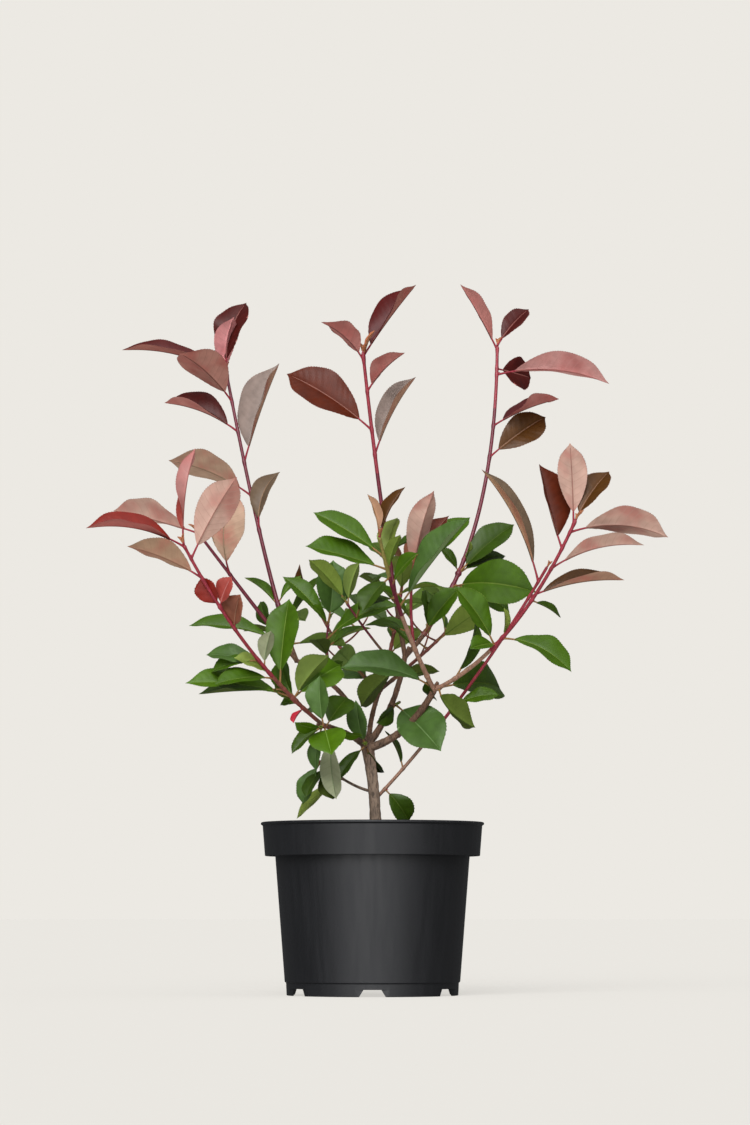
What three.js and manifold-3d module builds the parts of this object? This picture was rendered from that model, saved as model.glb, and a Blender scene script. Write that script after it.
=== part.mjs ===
// A young red-tipped photinia in a black nursery pot: pot, potting soil, trunk, boughs and leafy shoots.
// Millimetres, +X right, +Y back, +Z up. The origin is on the ground, under the middle of the pot.
import * as THREE from "three";
import { mergeVertices } from "three/addons/utils/BufferGeometryUtils.js";
import Module from "manifold-3d";

const wasm = await Module();
wasm.setup();

// Pot: a moulded tub with a wide collar, a lip and a foot ring cut by drainage channels.
const RIM_RADIUS = 115;
const POT_HEIGHT = 177;
const COLLAR_TOP_RADIUS = 113;
const COLLAR_FOOT_RADIUS = 110.6;
const COLLAR_FOOT_HEIGHT = 142.5;
const WALL_TOP_RADIUS = 100;
const WALL_FOOT_RADIUS = 90;
const WALL = 2.2;
const LIP = 3.6;
const FOOT_RADIUS = 88;
const FOOT_HEIGHT = 13;
const FOOT_DEPTH = 3;
const FLOOR_HEIGHT = 9;
const CHANNELS = 6;
const CHANNEL_WIDTH = 22;
const CHANNEL_HEIGHT = 7.2;
const CHANNEL_LENGTH = 30;
const POCKET_WIDTH = 36;
const POCKET_DEPTH = 1.6;
const DRAIN_HOLES = 6;
const DRAIN_RADIUS = 5;
const DRAIN_CIRCLE = 52;
const POT_SIDES = 48;

// Soil: it fills the pot to two centimetres under the rim.
const SOIL_HEIGHT = 157;
const SOIL_DISH = 2.5;
const CLEARANCE = 0.3;

// Limbs.
const TRUNK_RADIUS = 5.7;
const TRUNK_FLARE = 3;
const FORK_SWELL = 1.1;
const LIMB_SIDES = 8;
const SHOOT_SIDES = 5;
const TWIG_SIDES = 3;
const LIMB_STEP = 22;
const FINEST_EDGE = 0.01;
const TWIG_RADIUS = 1.1;
const TWIG_LENGTH = 46;

// Leaves: the stalk is a share of the whole leaf, and the blade's width is a share of the blade's length.
const STALK = 0.15;
const STALK_RADIUS = 0.9;
const BLADE_WIDTH = 0.48;
const BLADE_THICKNESS = 1.3;
const BLADE_FOLD = 24;
const BLADE_BOW = 0.07;
const BLADE_STATIONS = [0.32, 0.58, 0.85];
const LEAF_TURN = 137.5;
const GROWN_LEAF = 62;
const LEAF_ROOM = 8;

const SOIL_BROWN = 0x3a2c22;
const POT_BLACK = 0x232427;
const BARK_BROWN = 0x6e5648;
const YOUNG_RED = 0x7a3230;
const LEAF_GREEN = 0x3f6422;

// The trunk and the boughs, each from its foot over a bend to its tip, with its radius at foot and tip.
const TRUNK = { foot: [3.5, 0, SOIL_HEIGHT], bend: [3.5, 0, 215], tip: [-6, 0, 257] };
const BOUGHS = {
  bough_right: { foot: [-6, 0, 253], bend: [36, -14, 262], tip: [63, -36, 311], radius: [4.2, 2.8] },
  bough_centre: { foot: [-4, 3, 258], bend: [23, 14, 291], tip: [34, 34, 350], radius: [3.6, 2.6] },
  bough_left: { foot: [-8, -2, 256], bend: [-27, -12, 271], tip: [-51, -26, 276], radius: [3.3, 2.3] },
  bough_back_left: { foot: [-8, 4, 258], bend: [-14, 26, 311], tip: [-80, 56, 348], radius: [3, 2.2] },
  bough_back: { foot: [-4, 6, 257], bend: [-3, 34, 288], tip: [8, 78, 318], radius: [3, 2.2] },
};

// The leafy shoots. Each leaf of a shoot stands at a share of the way up it and reaches so far right, back
// and up from there to its tip. Then come the angle in degrees between its upper side and the front (0 shows
// the upper side, 90 an edge and 180 the underside) and, where they stand out, its bow, its breadth, the
// fold of each half and the twist from base to tip in degrees. A shoot also bears leaves of its own by rule,
// from a bearing on.
const SHOOTS = {
  shoot_left_high: {
    foot: [-80, 56, 348], bend: [-111, 88, 425], tip: [-158, 130, 666], radius: [2.6, 1.6],
    leaves: [
      [0.99, -114, 10, 28, 66, 0.08, 0.66, 42], [0.995, 21, 14, 78, 35, 0.14, 1.2],
      [0.985, 8, -20, 62, 140, 0.12, 1.1], [0.925, -54, -50, 45, 130, 0.08, 1.5],
      [0.85, -80, 12, 33, 60, 0.08, 1.3, 42, 30], [0.77, 37, 14, 109, 60, 0.02, 1.3, 37],
      [0.675, -88, -16, 36, 120, 0.08, 1.35], [0.57, 22, 20, 65, 42, 0.18, 1.15],
      [0.29, -37, 20, 32, 60], [0.3, 25, 12, 31, 50, 0.07, 0.8], [0.18, 41, -20, 56, 55, 0.07, 0.65],
    ],
    own: 4, upTo: 0.24, bearing: 20,
  },
  shoot_left_mid: {
    foot: [-80, 56, 348], bend: [-134, 48, 417], tip: [-183, 20, 480], radius: [2.4, 1.5],
    leaves: [
      [0.985, -90, 12, 25, 112, 0.02, 1.4, 25], [0.66, 4, -16, 90, -155, -0.2, 1.15],
      [0.145, -98, 14, 17, 55, 0.07, 0.8], [0.225, -14, 16, 32, 40, 0.07, 1.3],
    ],
    own: 2, upTo: 0.3, bearing: 340,
  },
  shoot_left_low: {
    foot: [-51, -26, 276], bend: [-127, -100, 334], tip: [-188, -150, 449], radius: [2.1, 1.5],
    leaves: [
      [0.99, -98, -10, 18, 68, 0.1, 0.98, 41], [1, 12, -16, 95, 85, 0.05, 0.7, 36, 130],
      [0.855, -74, -20, 30, 120, 0.06, 1.35], [0.94, 46, -20, 80, 160, 0.1, 1],
      [0.72, -19, -6, 30, 30, 0.07, 1.7], [0.72, 12, -12, 30, 35, 0.07, 1.6],
      [0.61, 6, -16, 34, 40, 0.07, 2.4], [0.207, -108, -20, 13, 50, 0.07, 0.85],
      [0.26, -88, 14, -4, 70, 0.02], [0.37, -64, 12, 18, 40, 0.12], [0.33, -60, -26, -8, 50],
      [0.4, 7, -14, 36, 150, 0.07, 1.2], [0.29, 9, 14, 89, 20, 0.05, 1.1],
      [0.195, 36, -14, 44, 130, 0.07, 1.5], [0.18, -20, -10, 23, 120, 0.07, 1.4],
      [0.13, -10, -12, -16, 60, 0.07, 1.3], [0.16, -19, 14, 1, 40, 0.07, 1.5],
      [0.2, 48, 30, 36, 20, 0.07, 1.5], [0.18, -16, 24, 46, 40, 0.07, 1.3],
      [0.355, -37, -14, 16, 50, 0.07, 1.3], [0.44, -49, 16, -11, 50, 0.07, 1.1],
    ],
    own: 4, upTo: 0.336, bearing: 70,
  },
  shoot_centre_high: {
    foot: [34, 34, 350], bend: [7, 18, 507], tip: [-10, -22, 663], radius: [2.6, 1.7],
    leaves: [
      [0.985, 55, 12, 77, 58, 0.02, 1.2, 40, 50], [0.97, -44, -28, 36, 116, 0.1, 1.6, 24, -30],
      [0.98, 12, -12, 27, 75, 0.07, 0.7, 40], [0.87, 39, -25, 37, 110, 0.07, 1.6, 28],
      [0.745, -89, 14, 61, 24, 0.08, 1.12], [0.665, 43, 16, 84, 64, 0.05, 1, 42],
    ],
    own: 6, upTo: 0.37, bearing: 60,
  },
  shoot_centre_front: {
    foot: [63, -36, 311], bend: [25, -104, 379], tip: [7, -156, 456], radius: [2.6, 1.6],
    leaves: [
      [1, -12, -10, 42, 120], [1, 26, 14, 52, 60], [0.88, -71, 14, 46, 45, 0.04],
      [0.8, -82, -16, 22, 50, 0.02, 1.1], [0.75, -27, -26, -37, 40, 0.07, 1.3],
      [0.62, -36, -18, -12, 50], [0.56, 70, -24, 88, 62, 0.02, 1, 42], [0.78, 12, -24, 36, 130],
      [0.84, 12, 20, 48, 40, 0.07, 1.2], [0.7, 26, -30, 30, 50],
      [0.28, -35, 16, 34, 50, 0.07, 1.2], [0.02, -94, -14, 19, 45, 0.12], [0.1, 10, 34, -22, 60],
      [0.4, -44, 20, 8, 60],
    ],
  },
  shoot_centre_young: {
    foot: [42, -75, 353], bend: [36, -84, 399], tip: [42, -106, 435], radius: [1.7, 1.3],
    leaves: [
      [0.805, 22, -16, 87, 150, 0.07, 0.85], [0.805, 38, 16, 65, 50, 0.07, 1.1],
      [0.805, 60, 42, 66, 30, 0.07, 0.8],
    ],
  },
  shoot_right_high: {
    foot: [34, 34, 350], bend: [131, 84, 456], tip: [134, 120, 691], radius: [2.6, 1.7],
    leaves: [
      [0.99, -40, -14, 69, 110, 0.02, 1, 28], [1, 35, 20, 43, 30, 0.07, 1.1],
      [0.93, 120, -14, -12, 112, 0.1, 1, 28], [0.945, 38, 36, -5, 15, 0.02, 1.75, 15],
      [0.8, 70, -14, 27, 78, 0.05, 1.6, 20, 70], [0.715, 61, 20, 46, 12, 0.1, 1.15],
      [0.349, 60, 14, 54, 30, 0.07, 1.1], [0.3, 87, -34, -8, 15, 0.2, 1.35], [0.4, 6, -10, 19, 60],
      [0.31, 59, -6, -30, 30, 0.12, 1.2], [0.22, -42, 18, 6, 90], [0.11, 37, -18, 47, 30, 0.07, 1.2],
      [0.12, 0, 24, 46, 40, 0.07, 1.2], [0.355, -20, -10, 25, 40, 0.07, 1.1], [0.35, 51, 24, 21, 40, 0.1],
    ],
    own: 3, upTo: 0.3, bearing: 200,
  },
  shoot_right_low: {
    foot: [63, -36, 311], bend: [145, -122, 345], tip: [202, -165, 473], radius: [2.3, 1.6],
    leaves: [
      [0.885, -22, 10, 86, 54, -0.02, 1.5, 36], [0.98, -4, -14, 80, 170, 0.07, 0.92],
      [0.99, 36, 22, 53, 35, 0.07, 1.15], [0.95, 97, -8, -6, 118, 0.12, 1.2, 20],
      [0.8, 92, -14, 22, 106, 0.1, 0.9, 30], [0.65, 30, 16, -16, 60],
      [0.39, -41, -20, 59, 35, 0.07, 1.1], [0.45, 0, -14, 28, 60], [0.4, -27, -22, -6, 40, 0.07, 1.6],
      [0.44, 69, -14, -35, 50, 0.13, 1.15], [0.03, 65, 70, 3, 25, 0.12, 1.2],
      [0.13, 22, 30, 64, 60, 0.07, 0.8], [0.03, 36, -44, -43, 120, -0.12, 1.3],
    ],
  },
  shoot_right_side: {
    foot: [7, 2, 205], bend: [102, -28, 306], tip: [177, -92, 433], radius: [1.8, 1.5],
    leaves: [
      [0.88, 97, -4, 17, 70, 0.065, 0.9, 40, 45], [0.94, -57, 10, 116, 70, 0.065, 0.68, 40],
      [0.43, 45, -8, 9, 40, 0.1, 1.1], [0.13, -19, 12, 40, 75], [0.03, 25, 6, -33, 15, 0.14, 1.5],
    ],
  },
  twig_inner_left: {
    foot: [29, 29, 334], bend: [-1, 16, 366], tip: [-27, 2, 404], radius: [1.6, 1.1],
    leaves: [
      [0.97, 12, 14, 46, 130, 0.07, 1.2], [0.98, -40, -24, 44, 140], [0.05, -38, -20, -41, 140, 0.07, 1.3],
      [0.06, -58, 20, 0, 60],
    ],
    own: 4, upTo: 0.9, bearing: 250,
  },
  twig_inner_back: {
    foot: [-39, 38, 318], bend: [-51, 32, 346], tip: [-46, 27, 385], radius: [1.6, 1.1],
    leaves: [
      [1, 5, -8, 65, 20, 0.07, 1.6], [0.97, -48, 14, 52, 40, 0.07, 0.85], [0.96, -18, -20, 20, 50],
      [0.77, 75, -20, 34, 50, 0.12], [0.1, -36, -14, 2, 30, 0.07, 1.4], [0.14, 12, -24, 18, 40, 0.07, 1.2],
    ],
    own: 5, upTo: 0.9, bearing: 340,
  },
  twig_front_left: {
    foot: [-33, -14, 270], bend: [-43, -48, 272], tip: [-51, -84, 271], radius: [1.6, 1.1],
    leaves: [
      [0.85, 8, -44, -30, 0, 0.05, 1.9], [0.9, -4, -4, 52, 30, 0.05, 1.35],
      [0.79, 22, 30, 32, 20, 0.05, 1.7], [0.66, 36, 6, -7, 60], [0.99, -29, 12, -15, 50],
      [0.95, -31, -14, -28, 50], [1, -27, -34, 3, 50], [1, -6, 10, -44, 40],
      [0.5, 6, -22, -73, 150, 0.07, 0.75],
    ],
  },
  twig_foot_left: {
    foot: [-6, 0, 210], bend: [-28, -16, 216], tip: [-55, -44, 239], radius: [1.6, 1.1],
    leaves: [
      [0.9, 10, -22, -36, 150, 0.07, 1.2], [0.96, -18, 6, -43, 40, 0.07, 1.35], [0.86, -20, -26, -33, 50],
      [0.535, -47, 20, -41, 50, 0.07, 0.7],
    ],
  },
  spur_centre: {
    foot: [19, 16, 297], bend: [22, 9, 297], tip: [24, 2, 298], radius: [1.3, 1],
    leaves: [[1, 46, -46, -50, 15, 0.07, 1.6], [0.9, -20, -26, -20, 40, 0.07, 1.2]],
  },
  spur_front: {
    foot: [-5, -3, 252], bend: [-6, -9, 254], tip: [-7, -14, 255], radius: [1.3, 1],
    leaves: [[1, -29, -20, -38, 40, 0.07, 0.85], [0.8, 17, 34, -26, 40], [0.95, -10, -24, 46, 30, 0.07, 1.2]],
  },
  shoot_back_low: {
    foot: [8, 78, 318], bend: [24, 124, 374], tip: [34, 158, 452], radius: [2.4, 1.5],
    leaves: [[1, 24, 14, 50, 60], [1, -30, 20, 40, 60]], own: 9, upTo: 0.96, twigs: 2, bearing: 30,
  },
  shoot_back_left: {
    foot: [8, 78, 318], bend: [-29, 118, 347], tip: [-59, 146, 410], radius: [2.2, 1.4],
    leaves: [[1, -20, 24, 50, 60]], own: 9, upTo: 0.96, twigs: 2, bearing: 110,
  },
  shoot_back_right: {
    foot: [9, 77, 319], bend: [56, 104, 357], tip: [105, 138, 410], radius: [2.2, 1.4],
    leaves: [[1, 24, 24, 48, 60]], own: 9, upTo: 0.96, twigs: 2, bearing: 0,
  },
};

const vector = (xyz) => new THREE.Vector3(...xyz);

// A stream of even numbers from 0 to 1 that is the same on every run.
function seeded(seed) {
  let state = seed;
  return () => {
    state = (state * 1664525 + 1013904223) % 4294967296;
    return state / 4294967296;
  };
}

// The part of a vector that is square to a unit vector, as a unit vector.
function squareTo(way, axis) {
  return way.clone().addScaledVector(axis, -way.dot(axis)).normalize();
}

// A closed solid from rings of points. A ring of one point ends it in a tip.
function loft(rings) {
  const points = rings.flat();
  const faces = [];
  let first = 0;
  rings.slice(1).forEach((next, i) => {
    const ring = rings[i];
    const second = first + ring.length;
    ring.forEach((_, k) => {
      const after = (k + 1) % ring.length;
      if (next.length === 1) {
        faces.push(first + k, first + after, second);
      } else {
        faces.push(first + k, first + after, second + after, first + k, second + after, second + k);
      }
    });
    first = second;
  });
  for (let k = 1; k + 1 < rings[0].length; k++) {
    faces.push(0, k + 1, k);
  }
  for (let k = 1; k + 1 < rings.at(-1).length; k++) {
    faces.push(first, first + k, first + k + 1);
  }
  return new THREE.BufferGeometry().setFromPoints(points).setIndex(faces);
}

function solidOf(geometry) {
  const bare = geometry.clone();
  bare.deleteAttribute("normal");
  bare.deleteAttribute("uv");
  const merged = mergeVertices(bare, 1e-4);
  return new wasm.Manifold(
    new wasm.Mesh({
      numProp: 3,
      vertProperties: merged.attributes.position.array,
      triVerts: new Uint32Array(merged.index.array),
    }),
  );
}

// The largest piece of a solid, as a mesh: a scrap that a cut leaves is dropped, and so are hair-thin faces.
function meshOf(name, solid, colour, roughness) {
  const piece = solid.decompose().sort((a, b) => b.volume() - a.volume())[0];
  const { vertProperties, triVerts } = piece.asOriginal().simplify(FINEST_EDGE).getMesh();
  const geometry = new THREE.BufferGeometry()
    .setAttribute("position", new THREE.BufferAttribute(vertProperties, 3))
    .setIndex(new THREE.BufferAttribute(triVerts, 1));
  geometry.computeVertexNormals();
  const material = new THREE.MeshStandardMaterial({ color: colour, roughness, metalness: 0 });
  const mesh = new THREE.Mesh(geometry, material);
  mesh.name = name;
  return mesh;
}

const routeOf = ({ foot, bend, tip }) =>
  new THREE.QuadraticBezierCurve3(vector(foot), vector(bend), vector(tip));

// A tapering limb along a route. The radius is a function of the share of the way up.
function limb(route, radiusAt, sides, grow = 0) {
  const steps = Math.max(2, Math.round(route.getLength() / LIMB_STEP));
  let aside = null;
  const rings = [];
  for (let i = 0; i <= steps; i++) {
    const share = i / steps;
    const way = route.getTangent(share);
    aside = squareTo(aside ?? new THREE.Vector3(0.6, 0.5, 0.2), way);
    const across = way.clone().cross(aside);
    const centre = route.getPoint(share);
    const radius = radiusAt(share) + grow;
    rings.push(
      Array.from({ length: sides }, (_, k) => {
        const angle = (2 * Math.PI * k) / sides;
        return centre
          .clone()
          .addScaledVector(aside, radius * Math.cos(angle))
          .addScaledVector(across, radius * Math.sin(angle));
      }),
    );
  }
  return solidOf(loft(rings));
}

const taper = ([foot, tip]) => (share) => foot + (tip - foot) * share;

// A leaf as its spine's route, its upper side's normal at a share of its length, and its shape. Unless the
// angle to the front is given, the upper side looks the way in which the shoot grows.
function leafAt(route, share, reach, toFront, draw, bow = BLADE_BOW, breadth = 1, folded = null, twist = 0) {
  const node = route.getPoint(share);
  const tip = node.clone().add(reach);
  const length = reach.length();
  const way = reach.clone().normalize();
  const upper = squareTo(route.getTangent(share), way);
  const front = squareTo(new THREE.Vector3(0, -1, 0), way);
  const aside = way.clone().cross(front);
  if (aside.dot(upper) < 0) aside.negate();
  const normalAt = (along) => {
    if (toFront === null) return upper;
    const angle = THREE.MathUtils.degToRad(toFront + twist * (along - 0.5));
    return front.clone().multiplyScalar(Math.cos(angle)).addScaledVector(aside, Math.sin(angle));
  };
  const width = breadth * BLADE_WIDTH * (1 - STALK) * length * (0.94 + 0.12 * draw());
  const drawnFold = BLADE_FOLD * (0.7 + 0.6 * draw());
  const fold = THREE.MathUtils.degToRad(folded ?? drawnFold);
  const bend = node.clone().addScaledVector(reach, 0.5).addScaledVector(normalAt(0.5), 2 * bow * length);
  return { spine: new THREE.QuadraticBezierCurve3(node, bend, tip), normalAt, width, fold };
}

// Half the blade's width at a share of the whole leaf's length: an oval that is a little fuller to the tip.
function halfWidth(leaf, share) {
  const along = Math.max(0, (share - STALK) / (1 - STALK));
  return (leaf.width / 2) * Math.sin(Math.PI * along ** 1.15) ** 0.7;
}

// The left edge, the middle and the right edge of a leaf at a share of its length, and its local normal.
function leafSection(leaf, share) {
  const middle = leaf.spine.getPoint(share);
  const way = leaf.spine.getTangent(share);
  const normal = squareTo(leaf.normalAt(share), way);
  const aside = way.clone().cross(normal);
  const half = halfWidth(leaf, share);
  const edge = (side) =>
    middle
      .clone()
      .addScaledVector(aside, side * half * Math.cos(leaf.fold))
      .addScaledVector(normal, half * Math.sin(leaf.fold));
  return { left: edge(-1), middle, right: edge(1), normal, aside };
}

function leafSolid(leaf) {
  const stalkRing = (share) => {
    const { middle, normal, aside } = leafSection(leaf, share);
    return [
      middle.clone().addScaledVector(aside, -STALK_RADIUS),
      middle.clone().addScaledVector(normal, STALK_RADIUS),
      middle.clone().addScaledVector(aside, STALK_RADIUS),
      middle.clone().addScaledVector(normal, -STALK_RADIUS),
    ];
  };
  const bladeRing = (share) => {
    const { left, middle, right, normal } = leafSection(leaf, share);
    return [
      left,
      middle.clone().addScaledVector(normal, BLADE_THICKNESS / 2),
      right,
      middle.clone().addScaledVector(normal, -BLADE_THICKNESS / 2),
    ];
  };
  return solidOf(
    loft([stalkRing(0), stalkRing(STALK), ...BLADE_STATIONS.map(bladeRing), [leaf.spine.getPoint(1)]]),
  );
}

// Points over a leaf, from a third of its length on, that stand for it when room is measured.
function leafMarks(leaf) {
  return [0.35, 0.48, 0.61, 0.74, 0.87, 1].flatMap((share) => {
    const { left, middle, right } = leafSection(leaf, share);
    const halves = [left, right].map((edge) => edge.clone().lerp(middle, 0.5));
    return [left, halves[0], middle, halves[1], right];
  });
}

const marks = [];

function hasRoom(points) {
  return points.every((point) => marks.every((mark) => mark.distanceTo(point) > LEAF_ROOM));
}

// The unit way of a compass bearing, 0 to the right and 90 to the back, with a rise above the horizon.
function heading(bearing, rise) {
  const [b, r] = [bearing, rise].map(THREE.MathUtils.degToRad);
  return new THREE.Vector3(Math.cos(b) * Math.cos(r), Math.sin(b) * Math.cos(r), Math.sin(r));
}

// Leaves set round a route by the leaf turn, up to a share of its length. One that has no room is skipped.
function grownLeaves(route, count, upTo, bearing, draw) {
  const grown = [];
  for (let k = 0; k < count; k++) {
    const share = 0.08 + ((upTo - 0.08) * (k + 0.5)) / count;
    const rise = 2 + 45 * share + 20 * (draw() - 0.5);
    const length = GROWN_LEAF * (0.8 + 0.5 * draw());
    const reach = heading(bearing + k * LEAF_TURN, rise).multiplyScalar(length);
    const leaf = leafAt(route, share, reach, null, draw);
    const points = leafMarks(leaf);
    if (hasRoom(points)) {
      marks.push(...points);
      grown.push(leaf);
    }
  }
  return grown;
}

// Side twigs that branch from a shoot, each with its own leaves. One whose tip has no room is skipped.
function grownTwigs(route, count, bearing, draw) {
  const twigs = [];
  for (let k = 0; k < count; k++) {
    const share = 0.25 + (0.5 * (k + 0.5)) / count;
    const toward = bearing + 70 + k * LEAF_TURN;
    const foot = route.getPoint(share);
    const length = TWIG_LENGTH * (0.8 + 0.4 * draw());
    const bend = foot.clone().addScaledVector(heading(toward, 15), length / 2);
    const tip = foot.clone().addScaledVector(heading(toward, 35), length);
    const twig = new THREE.QuadraticBezierCurve3(foot, bend, tip);
    if (hasRoom([tip])) {
      twigs.push({ route: twig, leaves: grownLeaves(twig, 4, 1, toward - 60, draw) });
    }
  }
  return twigs;
}

// A profile of radii and heights turned round the pot's axis.
function turned(profile) {
  const outline = profile.map(([radius, height]) => new THREE.Vector2(radius, height));
  return new THREE.LatheGeometry(outline, POT_SIDES).rotateX(Math.PI / 2);
}

function pot() {
  const inner = (radius) => radius - WALL;
  const profile = [
    [0, FLOOR_HEIGHT],
    [FOOT_RADIUS - FOOT_DEPTH, FLOOR_HEIGHT],
    [FOOT_RADIUS - FOOT_DEPTH + 1, 0],
    [FOOT_RADIUS, 0],
    [FOOT_RADIUS + 0.6, FOOT_HEIGHT],
    [WALL_FOOT_RADIUS, FOOT_HEIGHT + 0.6],
    [WALL_TOP_RADIUS, COLLAR_FOOT_HEIGHT],
    [COLLAR_FOOT_RADIUS, COLLAR_FOOT_HEIGHT],
    [COLLAR_TOP_RADIUS, POT_HEIGHT - LIP],
    [RIM_RADIUS, POT_HEIGHT - LIP + 1],
    [RIM_RADIUS, POT_HEIGHT - 1.2],
    [RIM_RADIUS - 1.2, POT_HEIGHT],
    [inner(COLLAR_TOP_RADIUS), POT_HEIGHT],
    [inner(COLLAR_FOOT_RADIUS), COLLAR_FOOT_HEIGHT + WALL],
    [inner(WALL_TOP_RADIUS), COLLAR_FOOT_HEIGHT + WALL],
    [inner(WALL_FOOT_RADIUS), FLOOR_HEIGHT + WALL],
    [0, FLOOR_HEIGHT + WALL],
  ];
  let tub = solidOf(turned(profile));
  for (let k = 0; k < CHANNELS; k++) {
    const angle = (2 * Math.PI * k) / CHANNELS;
    tub = tub.subtract(solidOf(groove(CHANNEL_WIDTH, FOOT_RADIUS - 2 * FOOT_DEPTH, angle)));
    tub = tub.subtract(solidOf(groove(POCKET_WIDTH, FOOT_RADIUS - POCKET_DEPTH, angle)));
  }
  for (let k = 0; k < DRAIN_HOLES; k++) {
    const angle = (2 * Math.PI * k) / DRAIN_HOLES;
    const hole = new THREE.CylinderGeometry(DRAIN_RADIUS, DRAIN_RADIUS, 3 * FLOOR_HEIGHT, 8)
      .rotateX(Math.PI / 2)
      .translate(DRAIN_CIRCLE * Math.cos(angle), DRAIN_CIRCLE * Math.sin(angle), FLOOR_HEIGHT);
    tub = tub.subtract(solidOf(hole));
  }
  return meshOf("pot", tub, POT_BLACK, 0.45);
}

// A groove under the pot, narrower at its top, that starts at a radius and opens outward at an angle.
function groove(width, start, angle) {
  const outline = new THREE.Shape([
    new THREE.Vector2(-width / 2 - 3, -1),
    new THREE.Vector2(width / 2 + 3, -1),
    new THREE.Vector2(width / 2 - 2, CHANNEL_HEIGHT),
    new THREE.Vector2(-width / 2 + 2, CHANNEL_HEIGHT),
  ]);
  return new THREE.ExtrudeGeometry(outline, { depth: CHANNEL_LENGTH, bevelEnabled: false })
    .rotateX(Math.PI / 2)
    .translate(0, start + CHANNEL_LENGTH, 0)
    .rotateZ(angle);
}

function pottingSoil() {
  const inset = WALL + CLEARANCE;
  const floor = FLOOR_HEIGHT + WALL + CLEARANCE;
  const step = COLLAR_FOOT_HEIGHT + WALL + CLEARANCE;
  const profile = [
    [0, floor],
    [WALL_FOOT_RADIUS - inset - 0.2, floor],
    [WALL_TOP_RADIUS - inset, step],
    [COLLAR_FOOT_RADIUS - inset, step],
    [COLLAR_FOOT_RADIUS - inset + 0.6, SOIL_HEIGHT - SOIL_DISH],
    [70, SOIL_HEIGHT - SOIL_DISH / 2],
    [20, SOIL_HEIGHT],
    [0, SOIL_HEIGHT],
  ];
  return meshOf("potting_soil", solidOf(turned(profile)), SOIL_BROWN, 1);
}

// The trunk flares at the soil, where it is cut flat, and swells a little under the fork.
function trunkRadius(share) {
  return TRUNK_RADIUS + TRUNK_FLARE * (1 - share) ** 8 + FORK_SWELL * share ** 4;
}

const plant = new THREE.Group();
plant.add(pot(), pottingSoil());

// Every limb as a route and a radius, in the order in which they are cut clear of each other.
const limbs = [["trunk", routeOf(TRUNK), trunkRadius, LIMB_SIDES]];
for (const [name, bough] of Object.entries(BOUGHS)) {
  limbs.push([name, routeOf(bough), taper(bough.radius), LIMB_SIDES]);
}
for (const [name, shoot] of Object.entries(SHOOTS)) {
  limbs.push([name, routeOf(shoot), taper(shoot.radius), SHOOT_SIDES]);
}
for (const [, route] of limbs) {
  marks.push(...route.getPoints(Math.round(route.getLength() / LEAF_ROOM)).slice(1));
}

// The leaves that the shoots state come first, so that the grown ones keep clear of all of them.
const foliage = new Map();
Object.entries(SHOOTS).forEach(([name, shoot], i) => {
  const route = routeOf(shoot);
  const draw = seeded(101 + i);
  const leaves = shoot.leaves.map(([share, right, back, up, toFront, ...shape]) =>
    leafAt(route, share, new THREE.Vector3(right, back, up), toFront, draw, ...shape),
  );
  leaves.forEach((leaf) => marks.push(...leafMarks(leaf)));
  foliage.set(name, { route, leaves, draw });
});
for (const [name, shoot] of Object.entries(SHOOTS)) {
  const { route, leaves, draw } = foliage.get(name);
  leaves.push(...grownLeaves(route, shoot.own ?? 0, shoot.upTo ?? 1, shoot.bearing ?? 0, draw));
  foliage.get(name).twigs = grownTwigs(route, shoot.twigs ?? 0, shoot.bearing ?? 0, draw);
}

// Each limb is cut clear of the limbs before it, and a shoot's leaves and twigs are fused to its stem.
let taken = null;
for (const [name, route, radiusAt, sides] of limbs) {
  let body = limb(route, radiusAt, sides);
  const { leaves = [], twigs = [] } = foliage.get(name) ?? {};
  const twigLimbs = twigs.map((twig) => limb(twig.route, taper([TWIG_RADIUS, TWIG_RADIUS]), TWIG_SIDES));
  const allLeaves = [...leaves, ...twigs.flatMap((twig) => twig.leaves)];
  body = wasm.Manifold.union([body, ...twigLimbs, ...allLeaves.map(leafSolid)]);
  if (taken) body = body.subtract(taken);
  const cutter = limb(route, radiusAt, sides, CLEARANCE);
  taken = taken ? taken.add(cutter) : cutter;
  const colour = leaves.length ? (name.startsWith("shoot") ? YOUNG_RED : LEAF_GREEN) : BARK_BROWN;
  plant.add(meshOf(name, body, colour, leaves.length ? 0.4 : 0.85));
}

export default plant;
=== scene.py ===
"""A young red-tipped photinia in a black nursery pot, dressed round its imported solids.

The limbs, shoots and leaves grow by the same rule and from the same measures as the solids, in
millimetres, and become meshes in metres: +X right, +Y back, +Z up, with the origin on the ground.
"""

import functools
import math

import bpy
import numpy as np
from bpy.props import FloatProperty, FloatVectorProperty, IntProperty, PointerProperty
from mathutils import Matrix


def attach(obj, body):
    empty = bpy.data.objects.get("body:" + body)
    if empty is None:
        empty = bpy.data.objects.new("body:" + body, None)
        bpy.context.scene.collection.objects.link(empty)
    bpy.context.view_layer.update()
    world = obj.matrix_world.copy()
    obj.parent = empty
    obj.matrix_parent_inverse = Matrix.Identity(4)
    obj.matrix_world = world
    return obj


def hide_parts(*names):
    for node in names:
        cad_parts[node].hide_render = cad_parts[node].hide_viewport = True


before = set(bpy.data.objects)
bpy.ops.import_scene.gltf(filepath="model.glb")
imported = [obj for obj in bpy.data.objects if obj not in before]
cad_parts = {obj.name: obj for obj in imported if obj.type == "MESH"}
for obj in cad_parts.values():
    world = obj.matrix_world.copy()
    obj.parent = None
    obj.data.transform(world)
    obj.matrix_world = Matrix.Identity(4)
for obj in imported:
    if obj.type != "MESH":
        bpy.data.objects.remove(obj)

bl_info = {
    "name": "Potted photinia",
    "version": (1, 0, 0),
    "blender": (4, 5, 0),
    "location": "3D View > Sidebar > Photinia",
    "description": "Grows a potted photinia: pot, potting mix, bark, stems and leaves",
    "category": "Object",
}

BODY = "root"
MM = 0.001

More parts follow.
